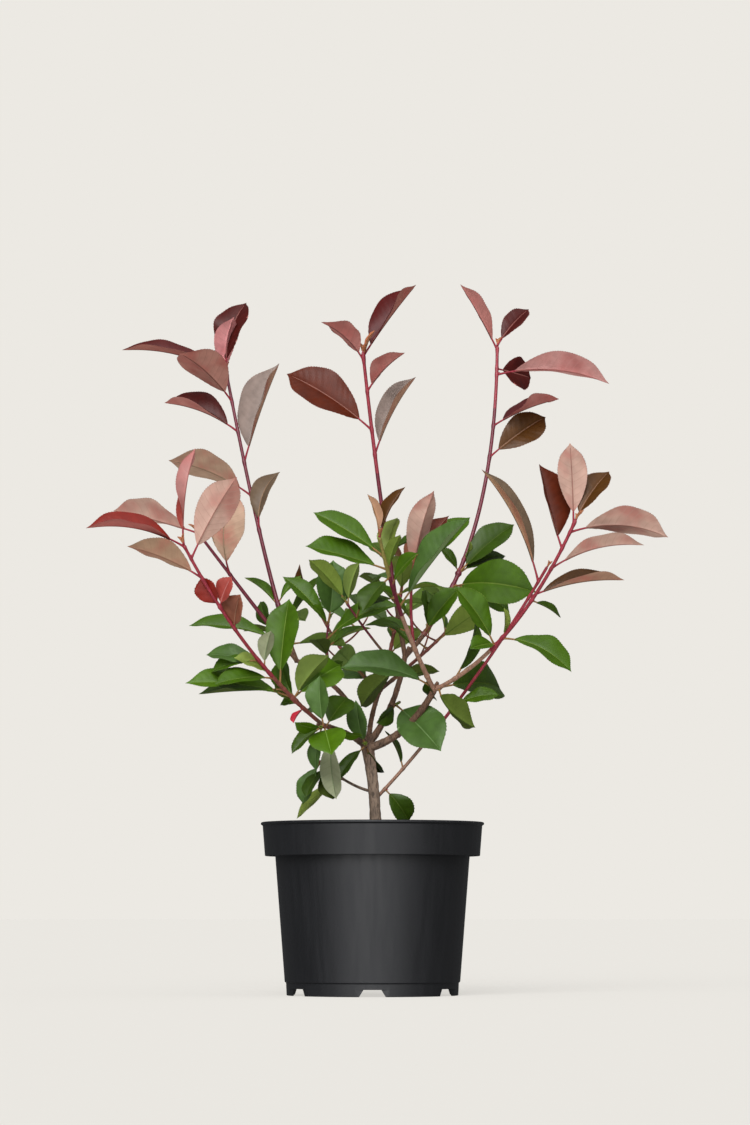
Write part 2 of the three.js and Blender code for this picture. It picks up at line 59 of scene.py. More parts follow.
# The trunk and the boughs, each from its foot over a bend to its tip, in millimetres.
TRUNK = dict(foot=(3.5, 0, 157), bend=(3.5, 0, 215), tip=(-6, 0, 257))
BOUGHS = {
    "bough_right": dict(foot=(-6, 0, 253), bend=(36, -14, 262), tip=(63, -36, 311), radius=(4.2, 3.3)),
    "bough_centre": dict(foot=(-4, 3, 258), bend=(23, 14, 291), tip=(34, 34, 350), radius=(3.6, 2.6)),
    "bough_left": dict(foot=(-8, -2, 256), bend=(-27, -12, 271), tip=(-51, -26, 276), radius=(3.3, 2.3)),
    "bough_back_left": dict(foot=(-8, 4, 258), bend=(-14, 26, 311), tip=(-80, 56, 348), radius=(3, 2.2)),
    "bough_back": dict(foot=(-4, 6, 257), bend=(-3, 34, 288), tip=(8, 78, 318), radius=(3, 2.2)),
}

# The leafy shoots. Each leaf stands at a share of the way up its shoot and reaches so far right, back and
# up to its tip. Then come the angle in degrees between its upper side and the front and, where they stand
# out, its bow, its breadth, its fold and its twist. A shoot also has the tint of each of these leaves, its
# stem's finishes, each up to a share of the way up it, and leaves and twigs that it bears by rule.
SHOOTS = {
    "shoot_left_high": dict(
        foot=(-80, 56, 348), bend=(-111, 88, 425), tip=(-158, 130, 666), radius=(2.6, 1.6),
        leaves=[
            [0.99, -114, 10, 28, 66, 0.08, 0.66, 42], [0.995, 21, 14, 78, 35, 0.14, 1.2],
            [0.985, 8, -20, 62, 140, 0.12, 1.1], [0.925, -54, -50, 45, 130, 0.08, 1.5],
            [0.85, -80, 12, 33, 60, 0.08, 1.3, 42, 30], [0.77, 37, 14, 109, 60, 0.02, 1.3, 37],
            [0.675, -88, -16, 36, 120, 0.08, 1.35], [0.57, 22, 20, 65, 42, 0.18, 1.15],
            [0.29, -37, 20, 32, 60], [0.3, 25, 12, 31, 50, 0.07, 0.8],
            [0.18, 41, -20, 56, 55, 0.07, 0.65],
        ],
        tints="wine maroon rose rust maroon ashen beige olive green green dark",
        stem=((0.06, "bark"), (1, "plum")),
        own=4, up_to=0.24, bearing=20,
    ),
    "shoot_left_mid": dict(
        foot=(-80, 56, 348), bend=(-134, 48, 417), tip=(-183, 20, 480), radius=(2.4, 1.5),
        leaves=[
            [0.985, -90, 12, 25, 112, 0.02, 1.4, 25], [0.66, 4, -16, 90, -155, -0.2, 1.15],
            [0.145, -98, 14, 17, 55, 0.07, 0.8], [0.225, -14, 16, 32, 40, 0.07, 1.3],
        ],
        tints="blush beige green dark",
        stem=((0.1, "bark"), (1, "plum")),
        own=2, up_to=0.3, bearing=340,
    ),
    "shoot_left_low": dict(
        foot=(-51, -26, 276), bend=(-127, -100, 334), tip=(-188, -150, 449), radius=(2.1, 1.5),
        leaves=[
            [0.99, -98, -10, 18, 68, 0.1, 0.98, 41], [1, 12, -16, 95, 85, 0.05, 0.7, 36, 130],
            [0.855, -74, -20, 30, 120, 0.06, 1.35], [0.94, 46, -20, 80, 160, 0.1, 1],
            [0.72, -19, -6, 30, 30, 0.07, 1.7], [0.72, 12, -12, 30, 35, 0.07, 1.6],
            [0.61, 6, -16, 34, 40, 0.07, 2.4], [0.207, -108, -20, 13, 50, 0.07, 0.85],
            [0.26, -88, 14, -4, 70, 0.02], [0.37, -64, 12, 18, 40, 0.12], [0.33, -60, -26, -8, 50],
            [0.4, 7, -14, 36, 150, 0.07, 1.2], [0.29, 9, 14, 89, 20, 0.05, 1.1],
            [0.195, 36, -14, 44, 130, 0.07, 1.5], [0.18, -20, -10, 23, 120, 0.07, 1.4],
            [0.13, -10, -12, -16, 60, 0.07, 1.3], [0.16, -19, 14, 1, 40, 0.07, 1.5],
            [0.2, 48, 30, 36, 20, 0.07, 1.5], [0.18, -16, 24, 46, 40, 0.07, 1.3],
            [0.355, -37, -14, 16, 50, 0.07, 1.3], [0.44, -49, 16, -11, 50, 0.07, 1.1],
        ],
        tints=(
            "crimson coral russet blush crimson coral russet bright dark bluish green grey green pale "
            "dark scarlet green bright green pale green"
        ),
        stem=((0.04, "bark"), (0.34, "tawny"), (1, "red")),
        own=4, up_to=0.336, bearing=70,
    ),
    "shoot_centre_high": dict(
        foot=(34, 34, 350), bend=(7, 18, 507), tip=(-10, -22, 663), radius=(2.6, 1.7),
        leaves=[
            [0.985, 55, 12, 77, 58, 0.02, 1.2, 40, 50], [0.97, -44, -28, 36, 116, 0.1, 1.6, 24, -30],
            [0.98, 12, -12, 27, 75, 0.07, 0.7, 40], [0.87, 39, -25, 37, 110, 0.07, 1.6, 28],
            [0.745, -89, 14, 61, 24, 0.08, 1.12], [0.665, 43, 16, 84, 64, 0.05, 1, 42],
        ],
        tints="wine dusk amber dusk rust ashen",
        stem=((0.22, "bark"), (0.6, "plum"), (1, "red")),
        own=6, up_to=0.37, bearing=60,
    ),
    "shoot_centre_front": dict(
        foot=(63, -36, 311), bend=(25, -104, 379), tip=(7, -156, 456), radius=(2.6, 1.6),
        leaves=[
            [1, -12, -10, 42, 120], [1, 26, 14, 52, 60], [0.88, -71, 14, 46, 45, 0.04],
            [0.8, -82, -16, 22, 50, 0.02, 1.1], [0.75, -27, -26, -37, 40, 0.07, 1.3],
            [0.62, -36, -18, -12, 50], [0.56, 70, -24, 88, 62, 0.02, 1, 42], [0.78, 12, -24, 36, 130],
            [0.84, 12, 20, 48, 40, 0.07, 1.2], [0.7, 26, -30, 30, 50], [0.28, -35, 16, 34, 50, 0.07, 1.2],
            [0.02, -94, -14, 19, 45, 0.12], [0.1, 10, 34, -22, 60], [0.4, -44, 20, 8, 60],
        ],
        tints="tan bronze green green dark dark bluish green pale green green bluish dark dark",
        stem=((0.5, "sandy"), (0.75, "plum"), (1, "lime")),
    ),
    "shoot_centre_young": dict(
        foot=(42, -75, 353), bend=(36, -84, 399), tip=(42, -106, 435), radius=(1.7, 1.3),
        leaves=[
            [0.805, 22, -16, 87, 150, 0.07, 0.85], [0.805, 38, 16, 65, 50, 0.07, 1.1],
            [0.805, 60, 42, 66, 30, 0.07, 0.8],
        ],
        tints="blush rust green",
        stem=((1, "red"),),
    ),
    "shoot_right_high": dict(
        foot=(34, 34, 350), bend=(131, 84, 456), tip=(134, 120, 691), radius=(2.6, 1.7),
        leaves=[
            [0.99, -40, -14, 69, 110, 0.02, 1, 28], [1, 35, 20, 43, 30, 0.07, 1.1],
            [0.93, 120, -14, -12, 112, 0.1, 1, 28], [0.945, 38, 36, -5, 15, 0.02, 1.75, 15],
            [0.8, 70, -14, 27, 78, 0.05, 1.6, 20, 70], [0.715, 61, 20, 46, 12, 0.1, 1.15],
            [0.349, 60, 14, 54, 30, 0.07, 1.1], [0.3, 87, -34, -8, 15, 0.2, 1.35], [0.4, 6, -10, 19, 60],
            [0.31, 59, -6, -30, 30, 0.12, 1.2], [0.22, -42, 18, 6, 90],
            [0.11, 37, -18, 47, 30, 0.07, 1.2], [0.12, 0, 24, 46, 40, 0.07, 1.2],
            [0.355, -20, -10, 25, 40, 0.07, 1.1], [0.35, 51, 24, 21, 40, 0.1],
        ],
        tints="dusk maroon coral maroon dusk bronze dark green pale green bright green dark dark dark",
        stem=((0.1, "bark"), (0.22, "tawny"), (0.84, "plum"), (1, "red")),
        own=3, up_to=0.3, bearing=200,
    ),
    "shoot_right_low": dict(
        foot=(63, -36, 311), bend=(145, -122, 345), tip=(202, -165, 473), radius=(2.3, 1.6),
        leaves=[
            [0.885, -22, 10, 86, 54, -0.02, 1.5, 36], [0.98, -4, -14, 80, 170, 0.07, 0.92],
            [0.99, 36, 22, 53, 35, 0.07, 1.15], [0.95, 97, -8, -6, 118, 0.12, 1.2, 20],
            [0.8, 92, -14, 22, 106, 0.1, 0.9, 30], [0.65, 30, 16, -16, 60],
            [0.39, -41, -20, 59, 35, 0.07, 1.1], [0.45, 0, -14, 28, 60],
            [0.4, -27, -22, -6, 40, 0.07, 1.6], [0.44, 69, -14, -35, 50, 0.13, 1.15],
            [0.03, 65, 70, 3, 25, 0.12, 1.2], [0.13, 22, 30, 64, 60, 0.07, 0.8],
            [0.03, 36, -44, -43, 120, -0.12, 1.3],
        ],
        tints="rust blush bronze blush blush dark green pale green green dark dark dark",
        stem=((0.36, "sandy"), (1, "red")),
    ),
    "shoot_right_side": dict(
        foot=(7, 2, 205), bend=(102, -28, 306), tip=(177, -92, 433), radius=(1.8, 1.5),
        leaves=[
            [0.88, 97, -4, 17, 70, 0.065, 0.9, 40, 45], [0.94, -57, 10, 116, 70, 0.065, 0.68, 40],
            [0.43, 45, -8, 9, 40, 0.1, 1.1], [0.13, -19, 12, 40, 75], [0.03, 25, 6, -33, 15, 0.14, 1.5],
        ],
        tints="bronze olive bright dark dark",
        stem=((0.3, "sandy"), (1, "red")),
    ),
    "twig_inner_left": dict(
        foot=(29, 29, 334), bend=(-1, 16, 366), tip=(-27, 2, 404), radius=(1.6, 1.1),
        leaves=[
            [0.97, 12, 14, 46, 130, 0.07, 1.2], [0.98, -40, -24, 44, 140],
            [0.05, -38, -20, -41, 140, 0.07, 1.3], [0.06, -58, 20, 0, 60],
        ],
        tints="pale green dark bluish",
        stem=((0.5, "bark"), (1, "plum")),
        own=4, up_to=0.9, bearing=250,
    ),
    "twig_inner_back": dict(
        foot=(-39, 38, 318), bend=(-51, 32, 346), tip=(-46, 27, 385), radius=(1.6, 1.1),
        leaves=[
            [1, 5, -8, 65, 20, 0.07, 1.6], [0.97, -48, 14, 52, 40, 0.07, 0.85], [0.96, -18, -20, 20, 50],
            [0.77, 75, -20, 34, 50, 0.12], [0.1, -36, -14, 2, 30, 0.07, 1.4],
            [0.14, 12, -24, 18, 40, 0.07, 1.2],
        ],
        tints="bluish green green green green dark",
        stem=((0.5, "bark"), (1, "plum")),
        own=5, up_to=0.9, bearing=340,
    ),
    "twig_front_left": dict(
        foot=(-33, -14, 270), bend=(-43, -48, 272), tip=(-51, -84, 271), radius=(1.6, 1.1),
        leaves=[
            [0.85, 8, -44, -30, 0, 0.05, 1.9], [0.9, -4, -4, 52, 30, 0.05, 1.35],
            [0.79, 22, 30, 32, 20, 0.05, 1.7], [0.66, 36, 6, -7, 60], [0.99, -29, 12, -15, 50],
            [0.95, -31, -14, -28, 50], [1, -27, -34, 3, 50], [1, -6, 10, -44, 40],
            [0.5, 6, -22, -73, 150, 0.07, 0.75],
        ],
        tints="bright bluish dark bright dark dark bright bluish grey",
        stem=((0.5, "bark"), (1, "tawny")),
    ),
    "twig_foot_left": dict(
        foot=(-6, 0, 210), bend=(-28, -16, 216), tip=(-55, -44, 239), radius=(1.6, 1.1),
        leaves=[
            [0.9, 10, -22, -36, 150, 0.07, 1.2], [0.96, -18, 6, -43, 40, 0.07, 1.35],
            [0.86, -20, -26, -33, 50], [0.535, -47, 20, -41, 50, 0.07, 0.7],
        ],
        tints="dark bluish dark pale",
        stem=((0.6, "bark"), (1, "tawny")),
    ),
    "spur_centre": dict(
        foot=(19, 16, 297), bend=(22, 9, 297), tip=(24, 2, 298), radius=(1.3, 1),
        leaves=[[1, 46, -46, -50, 15, 0.07, 1.6], [0.9, -20, -26, -20, 40, 0.07, 1.2]],
        tints="bluish dark",
        stem=((1, "bark"),),
    ),
    "spur_front": dict(
        foot=(-5, -3, 252), bend=(-6, -9, 254), tip=(-7, -14, 255), radius=(1.3, 1),
        leaves=[
            [1, -29, -20, -38, 40, 0.07, 0.85], [0.8, 17, 34, -26, 40],
            [0.95, -10, -24, 46, 30, 0.07, 1.2],
        ],
        tints="dark dark bluish",
        stem=((1, "bark"),),
    ),
    "shoot_back_low": dict(
        foot=(8, 78, 318), bend=(24, 124, 374), tip=(34, 158, 452), radius=(2.4, 1.5),
        leaves=[[1, 24, 14, 50, 60], [1, -30, 20, 40, 60]],
        tints="russet bronze",
        stem=((0.3, "bark"), (0.6, "tawny"), (1, "red")),
        own=9, up_to=0.96, twigs=2, bearing=30,
    ),
    "shoot_back_left": dict(
        foot=(8, 78, 318), bend=(-29, 118, 347), tip=(-59, 146, 410), radius=(2.2, 1.4),
        leaves=[[1, -20, 24, 50, 60]],
        tints="bronze",
        stem=((0.3, "bark"), (1, "tawny")),
        own=9, up_to=0.96, twigs=2, bearing=110,
    ),
    "shoot_back_right": dict(
        foot=(9, 77, 319), bend=(56, 104, 357), tip=(105, 138, 410), radius=(2.2, 1.4),
        leaves=[[1, 24, 24, 48, 60]],
        tints="russet",
        stem=((0.3, "bark"), (1, "tawny")),
        own=9, up_to=0.96, twigs=2, bearing=0,
    ),
}

# Each tint's base colour above and below, as sRGB hex values, and the tints that the rule deals out. One red
# tint's grey upper colour is a painted reflection of the light.
RED_TINTS = {
    "wine": ("501210", "a86c62"), "maroon": ("48120e", "c4847c"), "rose": ("7c302c", "f6a8aa"),
    # Grey 908078 above is a painted reflection, the sheen of the light on a dark red leaf; b88c74 below is
    # the leaf's own.
    "dusk": ("502020", "b87a74"), "ashen": ("908078", "b88c74"), "beige": ("7c6c50", "bc9c86"),
    "olive": ("685644", "c09878"), "crimson": ("802218", "b06660"), "coral": ("a0443c", "d49c98"),
    "russet": ("84503c", "ac8c74"), "scarlet": ("b02838", "c05058"), "rust": ("561e08", "bc887c"),
    "amber": ("c07450", "c68c66"), "tan": ("8f6a42", "b88e72"), "bronze": ("4e2e08", "b48c76"),
    "blush": ("7e3e34", "c8a496"),
}
GREEN_TINTS = {
    "green": ("406008", "788c3c"), "bright": ("486a08", "7c9a48"), "bluish": ("48662c", "76905c"),
    "dark": ("324a08", "506024"), "pale": ("809240", "748842"), "grey": ("4c6c38", "9aa080"),
}
GROWN_TINTS = ("green", "dark", "bluish", "green", "bright")

# Leaves, twigs and room, by the rule that the solids follow.
STALK = 0.15
BLADE_WIDTH = 0.48
BLADE_FOLD = 24
BLADE_BOW = 0.07
LEAF_TURN = 137.5
GROWN_LEAF = 62
LEAF_ROOM = 8
TWIG_RADIUS = 1.1
TWIG_LENGTH = 46

# Seeds of the draws for the shoots' leaves, for the whims of blades and for those of stems.
SHOOT_SEED = 101
BLADE_SEED = 7001
STEM_SEED = 9001

# The way from which the sides of every tube are counted.
FIRST_SIDE = np.array([0.6, 0.5, 0.2])


def linear(hex_colour):
    """A linear RGBA colour from an sRGB hex value."""
    shares = [int(hex_colour[i : i + 2], 16) / 255 for i in (0, 2, 4)]
    return [s / 12.92 if s <= 0.04045 else ((s + 0.055) / 1.055) ** 2.4 for s in shares] + [1.0]


def length(name, description, default):
    """A property that holds a length in metres."""
    return FloatProperty(name=name, description=description, default=default, min=0, unit="LENGTH")


def shade(name, hex_colour, description="Base colour"):
    """A property that holds a colour, given as an sRGB hex value."""
    return FloatVectorProperty(
        name=name, description=description, default=linear(hex_colour), size=4, subtype="COLOR", min=0, max=1
    )


def light_level(name, description, default):
    """A property that holds how strong a light is."""
    return FloatProperty(name=name, description=description, default=default, min=0)


def tint_shades(side, seen):
    """A colour property for each tint of one side of the leaves, 0 above and 1 below. Blender reads a
    group's properties from its annotations, so the two groups below take these as theirs."""
    return {
        tint: shade(tint.title(), colours[side], f"Base colour of the {seen} of a {tint} leaf")
        for tint, colours in {**RED_TINTS, **GREEN_TINTS}.items()
    }


class PotSizes(bpy.types.PropertyGroup):
    """Measures and colour of the nursery pot."""

    rim_radius: length("Rim radius", "Outside radius of the rolled lip", 0.115)
    height: length("Height", "Height of the lip's top above the ground", 0.177)
    collar_drop: length("Collar drop", "Height of the wide collar, with its lip", 0.0345)
    wall_top_radius: length("Wall radius, top", "Outside radius of the wall under the collar", 0.100)
    wall_foot_radius: length("Wall radius, foot", "Outside radius of the wall above the foot", 0.090)
    wall: length("Wall thickness", "Thickness of the moulded wall", 0.0022)
    foot_radius: length("Foot radius", "Outside radius of the foot ring", 0.088)
    foot_height: length("Foot height", "Height of the foot ring", 0.013)
    channel_width: length("Channel width", "Width of a drainage channel through the foot", 0.022)
    channel_height: length("Channel height", "Height of a drainage channel", 0.0072)
    pocket_width: length("Pocket width", "Width of the shallow recess round a channel", 0.036)
    colour: shade("Pot colour", "101115")


class SoilSizes(bpy.types.PropertyGroup):
    """Measures and colours of the potting mix."""

    height: length("Soil height", "Height of the potting mix's surface above the ground", 0.157)
    radius: length("Soil radius", "Radius at which the surface meets the pot", 0.1092)
    roughness: length("Surface relief", "Height of the lumps in the surface", 0.0022)
    chips: IntProperty(name="Bark chips", description="Number of bark chips", default=380, min=0)
    crumbs: IntProperty(name="Crumbs", description="Number of loose crumbs", default=2400, min=0)
    peat: shade("Peat colour", "2d2019")
    chip: shade("Chip colour", "6a4630")


class WoodSizes(bpy.types.PropertyGroup):
    """Measures and colours of the trunk, boughs and stems."""

    trunk_radius: length("Trunk radius", "Radius of the trunk halfway up", 0.0057)
    trunk_flare: length("Root flare", "What the trunk gains at the ground", 0.003)
    fork_swell: length("Fork swell", "What the trunk gains under its fork", 0.0011)
    bark_relief: length("Bark relief", "Depth of the bark's fissures", 0.00022)
    bark: shade("Bark colour", "70513f")
    weathered: shade("Weathered bark", "95806f", "Base colour of the bark low on the trunk")
    sandy: shade("Sandy stem", "a27c69")
    tawny: shade("Tawny stem", "83483f")
    plum: shade("Plum stem", "6a2333")
    red: shade("Red stem", "94303e")
    lime: shade("Lime stem", "8c8044")


class UpperColours(bpy.types.PropertyGroup):
    """Colours of the leaves' upper sides."""

    __annotations__ = tint_shades(0, "upper side")


class UnderColours(bpy.types.PropertyGroup):
    """Colours of the leaves' undersides."""

    __annotations__ = tint_shades(1, "underside")
    flush: shade("Flush", "b04a48", "Red that patches of a young underside turn towards")


class LeafSizes(bpy.types.PropertyGroup):
    """Measures of the leaves' relief."""

    thickness: length("Blade thickness", "Thickness of a blade near its midrib", 0.0005)
    rib_spacing: length("Rib spacing", "Distance between side ribs along the midrib", 0.0085)
    quilting: length("Quilting", "Height of the blade between two side ribs", 0.00022)
    tooth: length("Tooth", "Height of the teeth on the margin", 0.0008)
    midrib: length("Midrib", "Half the midrib's width at the base of the blade", 0.0008)


class StageColours(bpy.types.PropertyGroup):
    """Colour of the floor and the backdrop, and how strong each light is."""

    pale: shade("Stage colour", "ece9e3")
    key: light_level("Key light", "Irradiance of the key light", 2.7)
    fill: light_level("Fill light", "Irradiance of the fill light", 0.9)
    gloss: light_level("Gloss light", "Irradiance of the light that only gives gloss", 3.4)
    sky: light_level("Sky light", "Radiance of the surrounding light", 0.16)
    glow: light_level("Floor glow", "Share of the floor's light that is its own", 0.72)


# Routes and the growing rule.


def unit(v):
    """A vector, or each row of vectors, at length 1."""
    return v / np.linalg.norm(v, axis=-1, keepdims=True)


def square_to(way, axis):
    """The part of a vector that is square to a unit vector, as a unit vector."""
    return unit(way - axis * np.sum(way * axis, axis=-1, keepdims=True))


class Route:
    """A smooth line from a foot over a bend to a tip."""

    def __init__(self, foot, bend, tip):
        self.foot, self.bend, self.tip = (np.array(p, float) for p in (foot, bend, tip))

    def point(self, share):
        t = np.asarray(share, float)[..., None]
        return (1 - t) ** 2 * self.foot + 2 * t * (1 - t) * self.bend + t**2 * self.tip

    def way(self, share):
        t = np.asarray(share, float)[..., None]
        return unit((1 - t) * (self.bend - self.foot) + t * (self.tip - self.bend))

    def length(self):
        return np.linalg.norm(np.diff(self.point(np.linspace(0, 1, 201)), axis=0), axis=1).sum()


def route_of(limb):
    """The route of a limb that is given by its foot, bend and tip."""
    return Route(limb["foot"], limb["bend"], limb["tip"])


def seeded(seed):
    """A stream of even numbers from 0 to 1 that is the same on every run."""
    state = seed

    def draw():
        nonlocal state
        state = (state * 1664525 + 1013904223) % 4294967296
        return state / 4294967296

    return draw


class Leaf:
    """A leaf's spine, the way its upper side looks, and its width and fold."""

    def __init__(self, route, share, reach, to_front, draw, bow=BLADE_BOW, breadth=1, fold=None, twist=0):
        root = route.point(share)
        reach = np.array(reach, float)
        size = np.linalg.norm(reach)
        way = reach / size
        upper = square_to(route.way(share), way)
        front = square_to(np.array([0, -1.0, 0]), way)
        aside = np.cross(way, front)
        if aside @ upper < 0:
            aside = -aside
        self.frame = (upper, front, aside)
        self.to_front, self.twist = to_front, twist
        self.size, self.share = size, share
        self.width = breadth * BLADE_WIDTH * (1 - STALK) * size * (0.94 + 0.12 * draw())
        drawn = BLADE_FOLD * (0.7 + 0.6 * draw())
        self.fold = math.radians(drawn if fold is None else fold)
        bend = root + reach / 2 + self.normal(0.5) * 2 * bow * size
        self.spine = Route(root, bend, root + reach)
        # Dealt out once the leaf has its place: its tint, how far it curls and how high its margin waves.
        self.tint, self.curl, self.wave = None, 0, 0

    def normal(self, share):
        """The way the upper side looks at each share of the leaf's length."""
        upper, front, aside = self.frame
        share = np.asarray(share, float)[..., None]
        if self.to_front is None:
            return upper + 0 * share
        angle = np.radians(self.to_front + self.twist * (share - 0.5))
        return front * np.cos(angle) + aside * np.sin(angle)

    def marks(self):
        """Points over the leaf, from a third of its length on, that stand for it when room is measured."""
        share = np.array([0.35, 0.48, 0.61, 0.74, 0.87, 1])
        middle, way = self.spine.point(share), self.spine.way(share)
        normal = square_to(self.normal(share), way)
        aside = np.cross(way, normal)
        along = (share - STALK) / (1 - STALK)
        half = (self.width / 2 * np.clip(np.sin(np.pi * along**1.15), 0, None) ** 0.7)[:, None]
        edges = [
            middle + aside * side * half * math.cos(self.fold) + normal * half * math.sin(self.fold)
            for side in (-1, 1)
        ]
        halves = [(edge + middle) / 2 for edge in edges]
        return np.concatenate([edges[0], halves[0], middle, halves[1], edges[1]])


def heading(bearing, rise):
    """The unit way of a compass bearing, 0 to the right and 90 to the back, with a rise above level."""
    b, r = math.radians(bearing), math.radians(rise)
    return np.array([math.cos(b) * math.cos(r), math.sin(b) * math.cos(r), math.sin(r)])


class Growth:
    """Every shoot with its leaves and twigs, grown by the seeded rule."""

    def __init__(self):
        self.marks = []
        limbs = [TRUNK, *BOUGHS.values(), *SHOOTS.values()]
        for route in map(route_of, limbs):
            steps = math.floor(route.length() / LEAF_ROOM + 0.5)
            self.marks.append(route.point(np.linspace(0, 1, steps + 1)[1:]))
        self.shoots = {}
        draws = {}
        for i, (name, shoot) in enumerate(SHOOTS.items()):
            route, draw = route_of(shoot), seeded(SHOOT_SEED + i)
            leaves = []
            for row, tint in zip(shoot["leaves"], shoot["tints"].split(), strict=True):
                share, right, back, up, to_front, *shape = row
                leaf = Leaf(route, share, (right, back, up), to_front, draw, *shape)
                leaf.tint = tint
                leaves.append(leaf)
                self.marks.append(leaf.marks())
            self.shoots[name] = {"route": route, "leaves": leaves, "radius": shoot["radius"]}
            draws[name] = draw
        for name, shoot in SHOOTS.items():
            grown, draw = self.shoots[name], draws[name]
            bearing = shoot.get("bearing", 0)
            grown["leaves"] += self.grown_leaves(
                grown["route"], shoot.get("own", 0), shoot.get("up_to", 1), bearing, draw
            )
            grown["twigs"] = self.grown_twigs(grown["route"], shoot.get("twigs", 0), bearing, draw)

    def has_room(self, points):
        marks = np.concatenate(self.marks)
        gaps = np.linalg.norm(points[:, None] - marks[None], axis=2)
        return gaps.min() > LEAF_ROOM

    def grown_leaves(self, route, count, up_to, bearing, draw):
        """Leaves set round a route by the leaf turn. One that has no room is skipped."""
        grown = []
        for k in range(count):
            share = 0.08 + (up_to - 0.08) * (k + 0.5) / count
            rise = 2 + 45 * share + 20 * (draw() - 0.5)
            size = GROWN_LEAF * (0.8 + 0.5 * draw())
            leaf = Leaf(route, share, heading(bearing + k * LEAF_TURN, rise) * size, None, draw)
            points = leaf.marks()
            if self.has_room(points):
                self.marks.append(points)
                leaf.tint = GROWN_TINTS[(k + len(self.marks)) % len(GROWN_TINTS)]
                grown.append(leaf)
        return grown

    def grown_twigs(self, route, count, bearing, draw):
        """Side twigs that branch from a shoot, each with its leaves. One with no room is skipped."""
        twigs = []
        for k in range(count):
            share = 0.25 + 0.5 * (k + 0.5) / count
            toward = bearing + 70 + k * LEAF_TURN
            foot = route.point(share)
            size = TWIG_LENGTH * (0.8 + 0.4 * draw())
            bend = foot + heading(toward, 15) * size / 2
            tip = foot + heading(toward, 35) * size
            twig = Route(foot, bend, tip)
            if self.has_room(tip[None]):
                leaves = self.grown_leaves(twig, 4, 1, toward - 60, draw)
                twigs.append({"route": twig, "leaves": leaves, "radius": (TWIG_RADIUS, 0.8 * TWIG_RADIUS)})
        return twigs


@functools.cache
def growth():
    """The shoots, grown once."""
    return Growth()


# Meshes.


class Build:
    """Gathers the vertices, faces and material slots of one joined piece, in millimetres."""

    def __init__(self):
        self.points, self.faces, self.slots, self.rims = [], [], [], []
        self.count = 0

    def add(self, points, faces, slots, rim=None):
        """Adds a part. rim marks the vertices whose shared edges stay sharp."""
        points = np.asarray(points, float)
        first = self.count
        self.points.append(points)
        self.faces += [[first + v for v in face] for face in faces]
        self.slots += [slots] * len(faces) if isinstance(slots, int) else list(slots)
        self.rims.append(np.zeros(len(points), bool) if rim is None else rim)
        self.count += len(points)

    def shape(self, name):
        """The parts as one object in the scene."""
        mesh = bpy.data.meshes.new(name)
        mesh.from_pydata((np.concatenate(self.points) * MM).tolist(), [], self.faces)
        shape = bpy.data.objects.new(name, mesh)
        bpy.context.scene.collection.objects.link(shape)
        return shape

    def make(self, name, materials, replaces=(), crease=None):
        """Makes the piece. crease is the angle in degrees over which an edge stays sharp."""
        piece = self.shape(name)
        mesh = piece.data
        mesh.polygons.foreach_set("material_index", self.slots)
        mesh.polygons.foreach_set("use_smooth", [True] * len(mesh.polygons))
        edges = np.empty(2 * len(mesh.edges), np.int32)
        mesh.edges.foreach_get("vertices", edges)
        rim = np.concatenate(self.rims)[edges.reshape(-1, 2)].all(axis=1)
        mesh.edges.foreach_set("use_edge_sharp", rim)
        mesh.update()
        if crease is not None:
            mesh.set_sharp_from_angle(angle=math.radians(crease))
        for material in materials:
            mesh.materials.append(material)
        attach(piece, BODY)
        if replaces:
            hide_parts(*replaces)
        return piece


def settled(piece, *modifiers):
    """Applies modifiers to a piece's mesh, given as (kind, settings) pairs, and keeps the result."""
    for kind, settings in modifiers:
        modifier = piece.modifiers.new(kind.title(), kind)
        for name, value in settings.items():
            setattr(modifier, name, value)
    graph = bpy.context.evaluated_depsgraph_get()
    mesh = bpy.data.meshes.new_from_object(piece.evaluated_get(graph))
    piece.modifiers.clear()
    piece.data = mesh
    return piece


def circle(sides):
    """Angles round a circle, in radians."""
    return np.linspace(0, 2 * math.pi, sides, endpoint=False)


def level_ring(turn, radius, height):
    """Points round the upright axis, at angles and with a radius and a height for all or for each."""
    return np.stack([radius * np.cos(turn), radius * np.sin(turn), 0 * turn + height], axis=1)


def ring_faces(rings, sides):
    """Quads between rings of equal sides, with both ends closed by one face."""
    faces = []
    for low in range(0, (rings - 1) * sides, sides):
        for k in range(sides):
            after = (k + 1) % sides
            faces.append((low + k, low + after, low + sides + after, low + sides + k))
    faces.append(tuple(reversed(range(sides))))
    faces.append(tuple(range((rings - 1) * sides, rings * sides)))
    return faces


def tube(route, shares, radii, sides):
    """Rings of points along a route, one at each share, carried without twist."""
    centres, ways = route.point(shares), route.way(shares)
    aside = FIRST_SIDE
    angles = circle(sides)[:, None]
    rings = []
    for centre, way, radius in zip(centres, ways, radii, strict=True):
        aside = square_to(aside, way)
        across = np.cross(way, aside)
        rings.append(centre + radius * (aside * np.cos(angles) + across * np.sin(angles)))
    return np.concatenate(rings)


# Shares of a blade's length: its first cross line, the foot of its ribs and the part that has ribs.
BLADE_START = 0.012
FIRST_RIB = 0.06
RIBBED = 0.86


def rib_lines(ribs):
    """Shares of the blade where cross lines run, how far each is quilted up, and which strips are ribs."""
    centres = FIRST_RIB + RIBBED * (np.arange(ribs) + 0.4) / ribs
    gap = RIBBED / ribs
    vein = 0.035 * gap
    lines, quilt, strips = [BLADE_START, centres[0] / 2], [0.0, 0.6], [False, False]
    for centre in centres:
        lines += [centre - vein, centre + vein, centre + gap / 3, centre + gap * 2 / 3]
        quilt += [0.0, 0.0, 1.0, 1.0]
        strips += [True, False, False, False]
    return np.array(lines), np.array(quilt), strips


def outline(along):
    """Half the blade's width as a share of its widest: an oval with a short point."""
    along = np.clip(along, 0, 1)
    point = np.clip((along - 0.76) / 0.24, 0, 1)
    return np.clip(np.sin(np.pi * along**1.15), 0, 1) ** (0.72 + 0.5 * point * point * (3 - 2 * point))


